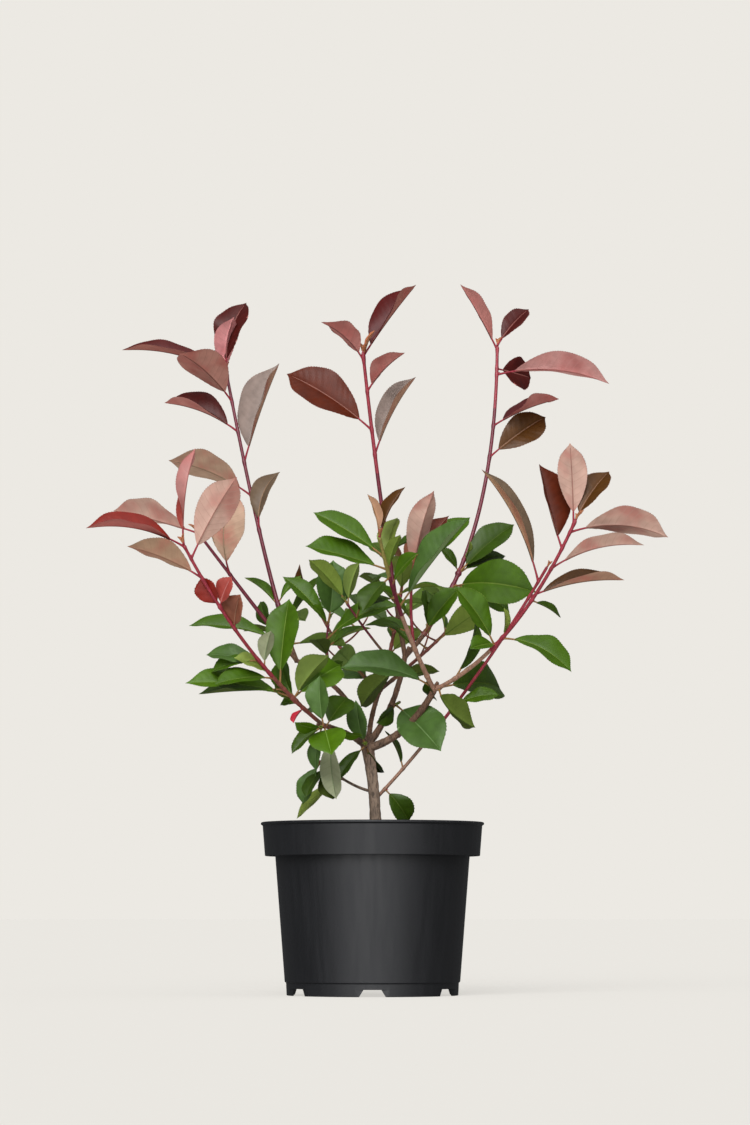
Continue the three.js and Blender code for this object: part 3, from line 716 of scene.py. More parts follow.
# Where the lines along a blade run, as shares of the way from its midrib's edge to its margin.
COLUMNS = (0.2, 0.42, 0.63, 0.83, 1.0)


@functools.cache
def blade_faces(ribs):
    """Faces, slots, rim vertices and teeth of a blade. Slots: upper side, underside, midrib, side rib."""
    _, _, strips = rib_lines(ribs)
    lines, wide = len(strips), 2 * len(COLUMNS) + 3
    centre = wide // 2
    upper = np.arange(lines * wide).reshape(lines, wide)
    under = upper.copy()
    under[:, 1:-1] = lines * wide + np.arange(lines * (wide - 2)).reshape(lines, wide - 2)
    count = lines * wide + lines * (wide - 2)
    teeth = {}
    for i in range(lines - 1):
        if not strips[i]:
            for side in (0, wide - 1):
                teeth[i, side] = count
                count += 1
    base, tip = count, count + 1
    faces, slots = [], []
    for grid, slot, flip in ((upper, 0, False), (under, 1, True)):
        for i in range(lines - 1):
            for j in range(wide - 1):
                face = [grid[i, j], grid[i, j + 1], grid[i + 1, j + 1], grid[i + 1, j]]
                if j == 0 and (i, 0) in teeth:
                    face.append(teeth[i, 0])
                if j == wide - 2 and (i, wide - 1) in teeth:
                    face.insert(2, teeth[i, wide - 1])
                faces.append(face[::-1] if flip else face)
                if j in (centre - 1, centre):
                    slots.append(2)
                else:
                    slots.append(3 if flip and strips[i] else slot)
        for j in range(wide - 1):
            low = [base, grid[0, j + 1], grid[0, j]]
            high = [grid[-1, j], grid[-1, j + 1], tip]
            for face in (low, high):
                faces.append(face[::-1] if flip else face)
                slots.append(slot)
    rim = np.zeros(count + 2, bool)
    rim[[*upper[:, 0], *upper[:, -1], *teeth.values(), base, tip]] = True
    faces = [[int(v) for v in face] for face in faces]
    return faces, slots, rim, list(teeth)


def blade_points(leaf, ribs, sizes, whim):
    """The points of a blade, in the order in which blade_faces counts them."""
    lines, quilt, _ = rib_lines(ribs)
    # Each cross line of the blade is a row, and the lines along it are columns from margin to margin.
    u = lines[:, None]
    half_here = leaf.width / 2 * outline(u)
    rib = np.clip(sizes.midrib / MM * (1 - 0.7 * u) / half_here, 0.03, 0.4)
    levels = np.concatenate([rib * 0, rib] + [rib + (1 - rib) * c for c in COLUMNS], axis=1)
    v = np.concatenate([-levels[:, :0:-1], levels], axis=1)
    out = np.abs(v)
    # The side ribs lean towards the tip, less so near both ends.
    lean = 0.5 * leaf.width / 2 / (leaf.size * (1 - STALK))
    along = u + lean * np.minimum(1, np.minimum(u / 0.2, (1 - u) / 0.3)) * out**1.3
    share = STALK + (1 - STALK) * along
    middle, way = leaf.spine.point(share), leaf.spine.way(share)
    straight = square_to(leaf.normal(share), way)
    level = np.cross(way, straight)
    twist = (leaf.curl * (along - 0.4))[..., None]
    normal = straight * np.cos(twist) + level * np.sin(twist)
    aside = level * np.cos(twist) - straight * np.sin(twist)
    # The blade folds up from its midrib, and each margin waves in its own way.
    half = leaf.width / 2 * outline(along)
    fold = leaf.fold * (1.14 - 0.28 * out)
    across = half * v * np.cos(fold)
    rise = half * out * np.sin(fold)
    for side in (-1, 1):
        wave = np.sin(2 * math.pi * (1.6 + whim()) * along + 6.3 * whim())
        rise += np.where(v * side > 0, leaf.wave * half * out**2 * wave, 0)
    # It is thin, quilted up between its ribs, grooved over its midrib and ridged under it.
    body = sizes.thickness / MM / 2 * (1 - out**6)
    relief = sizes.quilting / MM * quilt[:, None] * np.clip(2.6 * (out - out**3), 0, 1)
    groove = np.where(out == 0, 0.25, 0)
    ridge = np.where(out == 0, 0.25 + 0.75 * (1 - u), 0)
    top = middle + aside * across[..., None] + normal * (rise + relief + body - groove)[..., None]
    below = rise + relief - body - ridge
    bottom = (middle + aside * across[..., None] + normal * below[..., None])[:, 1:-1]
    # A tooth points outwards from each stretch of the margin.
    teeth = []
    for i, column in blade_faces(ribs)[3]:
        inner = 1 if column == 0 else column - 1
        here, there = top[i, column], top[i + 1, column]
        outward = unit(here - top[i, inner])
        height = sizes.tooth / MM * min(1.0, 1.6 * float(half[i, column]) / 8)
        teeth.append(here + 0.72 * (there - here) + outward * height)
    ends = [leaf.spine.point(STALK), leaf.spine.point(1.0)]
    return np.concatenate([top.reshape(-1, 3), bottom.reshape(-1, 3), np.array(teeth), np.array(ends)])


# The fewest and the most side ribs on a side of a blade, the stalk's rings along the leaf with its radius
# at each in millimetres, and what each tint has: upper side, underside, midrib, side ribs below and stalk.
FEWEST_RIBS = 4
MOST_RIBS = 12
LEAF_FINISHES = 5
STALK_SIDES = 8
STALK_SHARES = np.array([0, 0.02, 0.06, 0.1, STALK, STALK + 0.035])
STALK_RADII = np.array([1.5, 1.3, 1.08, 1.0, 0.95, 0.5])


def add_leaf(build, leaf, slots, sizes, whim):
    """Adds a leaf to a piece. slots are those of its upper side, underside, midrib, side ribs and stalk."""
    room = leaf.size * (1 - STALK) * MM
    ribs = int(np.clip(round(room / sizes.rib_spacing), FEWEST_RIBS, MOST_RIBS))
    faces, kinds, rim, _ = blade_faces(ribs)
    build.add(blade_points(leaf, ribs, sizes, whim), faces, [slots[kind] for kind in kinds], rim)
    thin = min(1.0, 0.45 + leaf.size / 110)
    rings = tube(leaf.spine, STALK_SHARES, STALK_RADII * thin, STALK_SIDES)
    build.add(rings, ring_faces(len(STALK_SHARES), STALK_SIDES), slots[4])


def noise(x, y, seed, wrap=None):
    """Smooth value noise from -1 to 1 over two numbers. wrap closes it along x after so many cells."""
    table = np.random.default_rng(seed).uniform(-1, 1, (128, 128))
    x0, y0 = np.floor(x).astype(int), np.floor(y).astype(int)
    fx, fy = x - x0, y - y0
    fx, fy = fx * fx * (3 - 2 * fx), fy * fy * (3 - 2 * fy)
    turn = wrap or 128

    def cell(i, j):
        return table[np.mod(x0 + i, turn), np.mod(y0 + j, 128)]

    low = cell(0, 0) * (1 - fx) + cell(1, 0) * fx
    high = cell(0, 1) * (1 - fx) + cell(1, 1) * fx
    return low * (1 - fy) + high * fy


# Materials.

# Most of a noise's values lie between these.
MIDDLING = (0.3, 0.7)


def node(owner, kind, inputs=None, stops=(), **settings):
    """Adds a shader node with its settings. An input that is a socket is linked, any other is set."""
    tree = owner.node_tree
    made = tree.nodes.new("ShaderNode" + kind)
    for name, value in settings.items():
        setattr(made, name, value)
    for name, value in (inputs or {}).items():
        if isinstance(value, bpy.types.NodeSocket):
            tree.links.new(value, made.inputs[name])
        else:
            made.inputs[name].default_value = value
    for element, (place, colour) in zip(made.color_ramp.elements if stops else (), stops, strict=True):
        element.position = place
        element.color = tuple(colour)
    return made


def blank(name):
    """A material with nothing in its tree but an output."""
    material = bpy.data.materials.new(name)
    material.use_nodes = True
    material.node_tree.nodes.clear()
    return material


def surface(material, **inputs):
    """Ends a material in one principled shader."""
    sockets = {name.replace("_", " "): value for name, value in inputs.items()}
    shader = node(material, "BsdfPrincipled", sockets)
    node(material, "OutputMaterial", {"Surface": shader.outputs["BSDF"]})
    return material


def scaled(material, *scale):
    """Object coordinates in cells of a size in millimetres, the same all ways or along x, y and z."""
    place = node(material, "TexCoord").outputs["Object"]
    cells = [1 / (size * MM) for size in (scale if len(scale) == 3 else scale * 3)]
    return node(material, "Mapping", {"Vector": place, "Scale": cells}).outputs["Vector"]


def clouded(material, vector, detail, middling, shown, roughness=0.5):
    """Noise whose middling values are spread over a range."""
    inputs = {"Vector": vector, "Scale": 1.0, "Detail": detail, "Roughness": roughness}
    limits = dict(zip(("From Min", "From Max", "To Min", "To Max"), (*middling, *shown), strict=True))
    cloud = node(material, "TexNoise", inputs)
    return node(material, "MapRange", {"Value": cloud.outputs["Fac"], **limits}).outputs["Result"]


def mottled(material, colour, vector, amount, detail=3.0):
    """A colour that noise turns lighter and darker by an amount."""
    value = clouded(material, vector, detail, MIDDLING, (1 - amount, 1 + amount))
    return node(material, "HueSaturation", {"Value": value, "Color": colour}).outputs["Color"]


def bumped(material, vector, height, strength=1.0, detail=2.0):
    """A normal that noise roughens, with the height of its relief in millimetres."""
    grain = node(material, "TexNoise", {"Vector": vector, "Scale": 1.0, "Detail": detail})
    inputs = {"Height": grain.outputs["Fac"], "Distance": height * MM, "Strength": strength}
    return node(material, "Bump", inputs).outputs["Normal"]


def moulded_polypropylene(colour):
    """Black polypropylene, injection moulded: a satin skin with faint upright flow lines and fine grain."""
    material = blank("injection_moulded_polypropylene")
    # The flow lines are some 6 mm apart. The mould's grain, about 0.2 mm, is too fine to show: it is drawn
    # three times as coarse.
    flow = scaled(material, 6, 6, 120)
    return surface(
        material,
        Base_Color=mottled(material, colour, flow, 0.12),
        Roughness=clouded(material, flow, 4.0, MIDDLING, (0.5, 0.62)),
        Specular_IOR_Level=0.42,
        IOR=1.49,
        Normal=bumped(material, scaled(material, 0.6), 0.04, 0.5),
    )


def peat_mix(name, colour):
    """Moist peat and composted bark: dark, matt and crumbly, with lighter dry flecks."""
    material = blank(name)
    # Flecks of about 4 mm and crumbs of about 1 mm are as large as real ones.
    return surface(
        material,
        Base_Color=mottled(material, colour, scaled(material, 4), 0.45, 8.0),
        Roughness=0.92,
        Specular_IOR_Level=0.3,
        Normal=bumped(material, scaled(material, 0.9), 0.6, 0.8, 6.0),
    )


def photinia_bark(name, colour, low):
    """Thin living bark: brown and matt, greyer low down, with fine upright cracks over a darker ground."""
    material = blank(name)
    place = node(material, "SeparateXYZ", {"Vector": node(material, "TexCoord").outputs["Object"]})
    # The grey of the trunk turns into brown over these heights, in metres.
    aged = node(material, "ValToRGB", {"Fac": place.outputs["Z"]}, ((0.225, low), (0.275, colour)))
    # Patches of 6 by 14 mm and cracks 1.1 mm apart are as large as real ones. The finest cracks, about 0.3 mm
    # apart, are too fine to show and are drawn at 0.7 mm.
    tone = mottled(material, aged.outputs["Color"], scaled(material, 6, 6, 14), 0.4, 4.0)
    depth = clouded(material, scaled(material, 1.1, 1.1, 7), 5.0, (0.36, 0.52), (0.3, 1.0), 0.65)
    cracked = node(material, "HueSaturation", {"Value": depth, "Color": tone})
    return surface(
        material,
        Base_Color=cracked.outputs["Color"],
        Roughness=0.82,
        Specular_IOR_Level=0.35,
        Normal=bumped(material, scaled(material, 0.7, 0.7, 1.8), 0.4, 0.7, 5.0),
    )


def young_rind(name, colour):
    """The smooth rind of a young stem: waxy, with soft lengthwise streaks and the relief of small pores."""
    material = blank(name)
    # The pores, about 0.5 mm across, are too fine to show and are drawn at twice that.
    return surface(
        material,
        Base_Color=mottled(material, colour, scaled(material, 1.6, 1.6, 20), 0.3),
        Roughness=0.4,
        Specular_IOR_Level=0.35,
        Normal=bumped(material, scaled(material, 1, 1, 1.6), 0.15, 0.5),
    )


def leaf_skin(name, colour, gloss, amount, flush=None):
    """A leaf's skin: leathery and waxed above, duller below, with soft mottling between its ribs. A young
    underside also turns redder in patches a third of a leaf long."""
    material = blank(name)
    if flush:
        cloud = node(material, "TexNoise", {"Vector": scaled(material, 26), "Scale": 1.0, "Detail": 1.5})
        stops = ((0.44, colour), (0.66, flush))
        colour = node(material, "ValToRGB", {"Fac": cloud.outputs["Fac"]}, stops).outputs["Color"]
    # The mottling is a little coarser than the side ribs are apart. The net of the finest veins, about
    # 0.5 mm, is too fine to show and is drawn at 1.2 mm.
    return surface(
        material,
        Base_Color=mottled(material, colour, scaled(material, 11), amount),
        Roughness=0.62 - 0.2 * gloss,
        Specular_IOR_Level=0.12 + 0.14 * gloss,
        IOR=1.42,
        Normal=bumped(material, scaled(material, 1.2), 0.12, 0.3),
    )


def blend(first, second, share):
    """A colour that is a share of the way from one to another."""
    return [a + (b - a) * share for a, b in zip(first, second, strict=True)]


@functools.cache
def leaf_materials(tint):
    """The skin of a tint's upper side, underside, midrib, side ribs below and stalk."""
    scene = bpy.context.scene
    wood = scene.photinia_wood
    upper = list(getattr(scene.photinia_upper, tint))
    under = list(getattr(scene.photinia_under, tint))
    red = tint in RED_TINTS
    flush = blend(under, scene.photinia_under.flush, 0.45) if red else None
    stalk = list(wood.red) if red else blend(wood.lime, wood.red, 0.35)
    return (
        leaf_skin(f"leaf_upper_{tint}", upper, 1.0, 0.16),
        leaf_skin(f"leaf_under_{tint}", under, 0.0, 0.10, flush),
        leaf_skin(f"leaf_midrib_{tint}", blend(under, upper, 0.62 if red else 0.5), 0.3, 0.08),
        leaf_skin(f"leaf_side_rib_{tint}", blend(under, upper, 0.22), 0.0, 0.08),
        leaf_skin(f"leaf_stalk_{tint}", stalk, 0.6, 0.12),
    )


@functools.cache
def stem_material(finish):
    """The bark or the rind of a shoot's stem."""
    wood = bpy.context.scene.photinia_wood
    if finish == "bark":
        return photinia_bark("bark_of_young_wood", wood.bark, wood.weathered)
    return young_rind(f"rind_{finish}", getattr(wood, finish))


# Operators.

# Small measures of the pot in millimetres, and what it has round it.
LIP_HEIGHT = 3.6
COLLAR_TOP_INSET = 2.0
COLLAR_FOOT_INSET = 4.4
FLOOR_UNDER_STEP = 4
POCKET_DEPTH = 1.4
CHANNEL_DEPTH = 5
GROOVE_REACH = 12
DRAIN_RADIUS = 5
DRAIN_PLACE = 52
DRAIN_ENDS = (4, 16)
CHANNELS = 6
POT_SIDES = 192


class PHOTINIA_OT_pot(bpy.types.Operator):
    """Moulds the black nursery pot with its collar, lip, foot ring and drainage channels."""

    bl_idname = "photinia.pot"
    bl_label = "Nursery pot"

    def execute(self, context):
        sizes = context.scene.photinia_pot
        rim, high, wall = sizes.rim_radius / MM, sizes.height / MM, sizes.wall / MM
        top, foot = sizes.wall_top_radius / MM, sizes.wall_foot_radius / MM
        ring, step = sizes.foot_radius / MM, sizes.foot_height / MM
        collar, lip = high - sizes.collar_drop / MM, high - LIP_HEIGHT
        collar_top, collar_foot = rim - COLLAR_TOP_INSET, rim - COLLAR_FOOT_INSET
        floor = step - FLOOR_UNDER_STEP
        # Each corner of the profile: radius, height and how far it is rounded.
        corners = [
            (0, floor, 0), (ring - 3, floor, 0.6), (ring - 2.2, 0, 0.5), (ring, 0, 0.8),
            (ring + 0.6, step, 0.3), (foot, step + 0.7, 0.9), (top, collar, 0.7),
            (top + 0.3, collar + 0.9, 0.3), (collar_foot - 1.1, collar + 0.9, 0.3),
            (collar_foot - 0.9, collar - 0.3, 0.25),
            (collar_foot, collar, 0.5), (collar_top, lip, 0.5), (rim - 0.1, lip + 1.1, 0.9),
            (rim - 0.1, high - 0.9, 0.9), (rim - 1.2, high, 0.9), (collar_top - wall, high, 0.8),
            (collar_foot - wall, collar + wall, 1.5), (top - wall, collar + wall, 0.8),
            (foot - wall, floor + wall, 2), (0, floor + wall, 0),
        ]
        build = Build()
        self.lathe(build, rounded(corners), POT_SIDES)
        pot = build.make("nursery_pot", [moulded_polypropylene(sizes.colour)], ["pot"])
        height = sizes.channel_height / MM
        for width, depth in ((sizes.channel_width, CHANNEL_DEPTH), (sizes.pocket_width, POCKET_DEPTH)):
            self.cut(pot, [self.groove(width / MM, ring - depth, height, k) for k in range(CHANNELS)])
        self.cut(pot, [self.drain(k) for k in range(CHANNELS)])
        pot.data.set_sharp_from_angle(angle=math.radians(28))
        return {"FINISHED"}

    def lathe(self, build, profile, sides):
        """Turns a profile that starts and ends on the axis."""
        turn = circle(sides)
        rings = [level_ring(turn, radius, height) for radius, height in profile[1:-1]]
        faces = ring_faces(len(rings), sides)[:-2]
        last = len(rings) * sides
        for k in range(sides):
            after = (k + 1) % sides
            faces += [(last, after, k), (last + 1, last - sides + k, last - sides + after)]
        ends = [[0, 0, profile[0][1]], [0, 0, profile[-1][1]]]
        build.add(np.concatenate([*rings, ends]), faces, 0)

    def groove(self, width, start, height, k):
        """A channel through the foot, narrower at its top, as the points and sides of a prism."""
        low, top = width / 2 + 3, width / 2 - 2
        section = [(-low, -1), (low, -1), (top, height), (-top, height)]
        prism = [(x, -start - out, z) for out in (0, GROOVE_REACH) for x, z in section]
        cos, sin = heading(360 * k / CHANNELS, 0)[:2]
        return np.array(prism) @ np.array([[cos, sin, 0], [-sin, cos, 0], [0, 0, 1]]), len(section)

    def drain(self, k):
        """A round drainage hole through the floor, as the points and sides of a prism."""
        sides = 32
        middle = DRAIN_PLACE * heading(360 * k / CHANNELS, 0)
        rings = [middle + level_ring(circle(sides), DRAIN_RADIUS, height) for height in DRAIN_ENDS]
        return np.concatenate(rings), sides

    def cut(self, piece, prisms):
        """Cuts prisms, none of which meets another, out of a piece."""
        build = Build()
        for points, sides in prisms:
            build.add(points, ring_faces(2, sides), 0)
        cutter = build.shape("cutter")
        bpy.context.view_layer.update()
        settled(piece, ("BOOLEAN", {"operation": "DIFFERENCE", "solver": "EXACT", "object": cutter}))
        bpy.data.objects.remove(cutter)


def rounded(corners, steps=4):
    """A profile whose corners are turned into arcs. Each corner is a radius, a height and a rounding."""
    points = []
    for i, (r, z, size) in enumerate(corners):
        here = np.array([r, z], float)
        if not size:
            points.append(here)
            continue
        ways = [np.array(corners[i + side][:2]) - here for side in (-1, 1)]
        back, ahead = (unit(way) * min(size, 0.45 * np.linalg.norm(way)) for way in ways)
        points += [here + back * (1 - t) ** 2 + ahead * t**2 for t in np.linspace(0, 1, steps + 1)]
    return points


# The potting mix in millimetres: rings round its side as radius and height, how far its surface is dished
# and how high and wide its middle is mounded, its lumps as share, width, shift and seed, and the room round
# the trunk that chips and crumbs leave free. Each chip's shade is a share of the way to the peat's colour.
SOIL_SIDE = ((86.9, 11.6), (97.3, 145), (108.0, 145))
SOIL_DISH = 2.2
SOIL_MOUND = 1.2
MOUND_REACH = 16
SOIL_LUMPS = ((1.0, 17, 40, 11), (0.55, 6, 40, 12), (0.3, 2.6, 60, 13))
TRUNK_ROOM = 11
CHIP_SHADES = (0.0, 0.35, 0.7)
LOOSE_SEED = 5


class PHOTINIA_OT_potting_mix(bpy.types.Operator):
    """Fills the pot with potting mix, and strews bark chips and crumbs over it."""

    bl_idname = "photinia.potting_mix"
    bl_label = "Potting mix"

    def execute(self, context):
        sizes = context.scene.photinia_soil
        self.high, self.reach, self.relief = (v / MM for v in (sizes.height, sizes.radius, sizes.roughness))
        turn = circle(180)
        rings = [level_ring(turn, radius, height) for radius, height in SOIL_SIDE]
        for radius in np.linspace(1, 0, 60)[:-1] ** 0.9 * self.reach:
            height = self.surface(radius * np.cos(turn), radius * np.sin(turn))
            rings.append(level_ring(turn, radius, height))
        fill = Build()
        fill.add(np.concatenate(rings), ring_faces(len(rings), len(turn)), 0)
        fill.make("potting_mix", [peat_mix("moist_peat_mix", sizes.peat)], ["potting_soil"])
        draw = np.random.default_rng(LOOSE_SEED)
        loose = Build()
        for _ in range(sizes.chips):
            self.add_chip(loose, draw)
        for _ in range(sizes.crumbs):
            self.add_crumb(loose, draw)
        shades = [blend(sizes.chip, sizes.peat, share) for share in CHIP_SHADES]
        finishes = [peat_mix(f"composted_bark_{i}", colour) for i, colour in enumerate(shades)]
        loose.make("bark_chips_and_crumbs", finishes, crease=35)
        return {"FINISHED"}

    def surface(self, x, y):
        """The height of the mix's surface: lumps of three sizes over a slight dish with a mound in it."""
        r = np.hypot(x, y)
        lumps = sum(
            share * noise(x / wide + shift, y / wide + shift, seed) for share, wide, shift, seed in SOIL_LUMPS
        )
        mound = SOIL_MOUND * np.exp(-((r / MOUND_REACH) ** 2))
        return self.high - SOIL_DISH * (r / self.reach) ** 2 + mound + self.relief * (lumps - 0.6)

    def place(self, draw, size):
        """A random spot on the surface, clear of the trunk and the wall."""
        while True:
            x, y = draw.uniform(-self.reach, self.reach, 2)
            if TRUNK_ROOM < math.hypot(x - TRUNK["foot"][0], y) and math.hypot(x, y) < self.reach - size:
                return np.array([x, y, float(self.surface(x, y))])

    def turned(self, draw, tilt):
        """Three axes turned at random, with the third tilted from upright by a little."""
        up = unit(np.array([*draw.normal(0, tilt, 2), 1.0]))
        side = square_to(np.array([*draw.normal(0, 1, 2), 0.0]), up)
        return np.stack([side, np.cross(up, side), up])

    def strew(self, build, draw, rings, tilt, size, lift):
        """Lays a grain on the surface, turned and placed at random, and deals it one of the shades."""
        points = np.concatenate(rings) @ self.turned(draw, tilt)
        points = points + self.place(draw, size) + [0, 0, lift]
        build.add(points, ring_faces(len(rings), len(rings[0])), int(draw.integers(0, len(CHIP_SHADES))))

    def add_chip(self, build, draw):
        """A split flake of bark with a ragged outline."""
        size = draw.uniform(2.2, 6.0)
        thick = draw.uniform(0.5, 1.3)
        sides = int(draw.integers(5, 8))
        turn = circle(sides) + draw.uniform(-0.25, 0.25, sides)
        flat = level_ring(turn, size * draw.uniform(0.7, 1.1, sides), 0) * [1, 0.55, 1]
        levels = [(0.82, -thick), (1.0, -0.4 * thick), (1.0, 0.4 * thick), (0.8, thick)]
        rings = [flat * [k, k, 1] + [0, 0, z] + draw.normal(0, 0.08, (sides, 3)) for k, z in levels]
        self.strew(build, draw, rings, 0.28, size, 0.5 * thick)

    def add_crumb(self, build, draw):
        """A crumb of peat: a small uneven lump."""
        size = draw.uniform(0.4, 1.5)
        levels = [(0.55, -0.75), (1.0, -0.1), (0.6, 0.7)]
        rings = [size * level_ring(circle(5), k, z) + draw.normal(0, 0.14 * size, (5, 3)) for k, z in levels]
        self.strew(build, draw, rings, 1.0, size, 0.3 * size)


# Short pruned stubs at the forks: foot, bend, tip and radius in millimetres.
STUBS = (
    ((60, -34, 307), (63, -38, 313), (67, -41, 319), 2.6),
    ((-7, -3, 256), (-7, -8, 259), (-6, -11, 261), 2.0),
    ((-48, -24, 275), (-52, -27, 276), (-57, -31, 276), 2.2),
    ((20, 14, 297), (26, 12, 300), (29, 10, 302), 1.9),
    ((32, 31, 346), (36, 36, 355), (38, 38, 361), 2.2),
)

# How far apart the bark's bud rings are along a bough and how wide each is, in millimetres.
RING_SPACING = 19
RING_WIDTH = 0.8

# The rings and sides from which the limbs are built, and the cells in which they are then joined, in
# millimetres where they have a size.
LIMB_STEP = 1.5
LIMB_SIDES = 24
WOOD_CELL = 0.7


class PHOTINIA_OT_wood(bpy.types.Operator):
    """Grows the trunk and the boughs as one piece of wood with the relief of its bark."""

    bl_idname = "photinia.wood"
    bl_label = "Trunk and boughs"

    def execute(self, context):
        sizes = context.scene.photinia_wood
        slim, flare, swell = (v / MM for v in (sizes.trunk_radius, sizes.trunk_flare, sizes.fork_swell))
        limbs = [(route_of(TRUNK), lambda s: slim + flare * (1 - s) ** 8 + swell * s**4)]
        for bough in BOUGHS.values():
            limbs.append((route_of(bough), functools.partial(self.bough_radius, *bough["radius"])))
        for foot, bend, tip, radius in STUBS:
            limbs.append((Route(foot, bend, tip), lambda s, radius=radius: radius * (1 - 0.25 * s)))
        build = Build()
        samples = []
        for number, (route, radius_at) in enumerate(limbs):
            size = route.length()
            shares = np.linspace(0, 1, max(4, int(size / LIMB_STEP)))
            radii = np.array([radius_at(s) for s in shares])
            build.add(tube(route, shares, radii, LIMB_SIDES), ring_faces(len(shares), LIMB_SIDES), 0)
            samples.append((route, shares, radii, size, number))
        bark = photinia_bark("photinia_bark", sizes.bark, sizes.weathered)
        wood = build.make("trunk_and_boughs", [bark], ["trunk", *BOUGHS])
        settled(
            wood,
            ("REMESH", {"mode": "VOXEL", "voxel_size": WOOD_CELL * MM, "use_smooth_shade": True}),
            ("SMOOTH", {"factor": 0.5, "iterations": 5}),
        )
        self.roughen(wood.data, samples, sizes.bark_relief / MM)
        return {"FINISHED"}

    def bough_radius(self, foot, tip, share):
        """A bough's radius at a share of its length, with a swelling at its foot."""
        return foot + (tip - foot) * share + 0.5 * (1 - share) ** 6

    def roughen(self, mesh, samples, depth):
        """Moves the surface by fissures, pores and bud rings that follow the nearest limb."""
        points = np.empty(3 * len(mesh.vertices))
        mesh.vertices.foreach_get("co", points)
        points = points.reshape(-1, 3) / MM
        best = np.full(len(points), np.inf)
        turn, run, number = np.zeros(len(points)), np.zeros(len(points)), np.zeros(len(points), int)
        outward = np.zeros_like(points)
        for route, shares, radii, size, limb in samples:
            centres, ways = route.point(shares), route.way(shares)
            gaps = np.linalg.norm(points[:, None] - centres[None], axis=2) - radii[None]
            near = gaps.argmin(axis=1)
            gap = gaps.min(axis=1)
            closer = gap < best
            best = np.where(closer, gap, best)
            away, way = points - centres[near], ways[near]
            aside = square_to(FIRST_SIDE + 0 * way, way)
            across = np.cross(way, aside)
            x, y = np.sum(away * aside, axis=1), np.sum(away * across, axis=1)
            turn = np.where(closer, np.arctan2(y, x) / (2 * math.pi) + 0.5, turn)
            run = np.where(closer, shares[near] * size + np.sum(away * way, axis=1), run)
            number = np.where(closer, limb, number)
            radial = unit(aside * x[:, None] + across * y[:, None] + 1e-9)
            outward = np.where(closer[:, None], radial, outward)

        def relief(around, pitch, shift, seed):
            """Noise in so many cells round a limb, each so many millimetres long, shifted on each limb."""
            return noise(turn * around, run / pitch + shift * number, seed, around)

        lines = relief(22, 6, 17, 21)
        cracks = np.clip(1 - 3.2 * np.abs(relief(14, 9, 9, 22)), 0, 1)
        fine = relief(40, 1.6, 5, 23)
        past_ring = (run + 7 * number) % RING_SPACING - RING_SPACING / 2 + relief(3, 20, 0, 24)
        rings = np.exp(-((past_ring / RING_WIDTH) ** 2)) * (number > 0)
        pores = 3 * np.clip(relief(18, 1.1, 3, 25) - 0.72, 0, 1)
        move = depth * (lines - 1.3 * cracks + 0.5 * fine + 1.6 * rings + pores)
        points = (points + outward * move[:, None]) * MM
        mesh.vertices.foreach_set("co", points.ravel())
        mesh.update()


# Stems in millimetres: how far apart their rings are, how far the first is sunk into the bough, how wide
# the swelling under a leaf is, and how long a leaf is at least that has a bud in its axil.
STEM_SIDES = 12
STEM_STEP = 1.8
STEM_SUNK = 2.0
SWELLING_REACH = 2.2
BUDDED_LEAF = 20

# A bud's rings as shares of its length, with their radii.
BUD_SHARES = np.array([0, 0.3, 0.65, 1.0])
BUD_RADII = np.array([0.75, 0.95, 0.7, 0.12])
BUD_SIDES = 8


class PHOTINIA_OT_stems(bpy.types.Operator):
    """Grows the stems, twigs and buds of every shoot, one joined piece a shoot."""

    bl_idname = "photinia.stems"
    bl_label = "Stems and buds"

    def execute(self, context):
        for number, (name, shoot) in enumerate(growth().shoots.items()):
            bands = SHOOTS[name]["stem"]
            finishes = list(dict.fromkeys(finish for _, finish in bands))
            build = Build()
            whim = seeded(STEM_SEED + number)
            self.add_stem(build, shoot, bands, finishes, whim, STEM_SUNK)
            for twig in shoot["twigs"]:
                self.add_stem(build, twig, ((1, finishes[-1]),), finishes, whim, 0)
            build.make(f"stem_of_{name}", [stem_material(finish) for finish in finishes])
        return {"FINISHED"}

    def add_stem(self, build, shoot, bands, finishes, whim, sunk):
        """A tapering stem that swells where each leaf stands, with a bud in each leaf's axil."""
        route, (foot, tip) = shoot["route"], shoot["radius"]
        size = route.length()
        count = max(8, int(size / STEM_STEP))
        shares = np.linspace(0, 1, count)
        radii = foot + (tip - foot) * shares
        for leaf in shoot["leaves"]:
            gap = (shares - leaf.share) * size
            radii = radii * (1 + 0.22 * np.exp(-((gap / SWELLING_REACH) ** 2)))
        radii[-1] *= 0.45
        points = tube(route, shares, radii, STEM_SIDES)
        points[:STEM_SIDES] -= sunk * route.way(0.0)
        slots = []
        for share in shares[:-1]:
            finish = next(finish for up_to, finish in bands if share <= up_to)
            slots += [finishes.index(finish)] * STEM_SIDES
        slots += [slots[0], slots[-1]]
        build.add(points, ring_faces(count, STEM_SIDES), slots)
        for leaf in shoot["leaves"]:
            if leaf.size > BUDDED_LEAF:
                out = leaf.spine.way(0.0)
                root = route.point(leaf.share) + 0.7 * out * (foot + (tip - foot) * leaf.share)
                way = unit(out + 1.3 * route.way(leaf.share))
                self.add_bud(build, root, way * (2.2 + 1.6 * whim()), slots[-1])

    def add_bud(self, build, root, reach, slot):
        """A small pointed bud."""
        route = Route(root, root + reach / 2, root + reach)
        build.add(tube(route, BUD_SHARES, BUD_RADII, BUD_SIDES), ring_faces(len(BUD_SHARES), BUD_SIDES), slot)


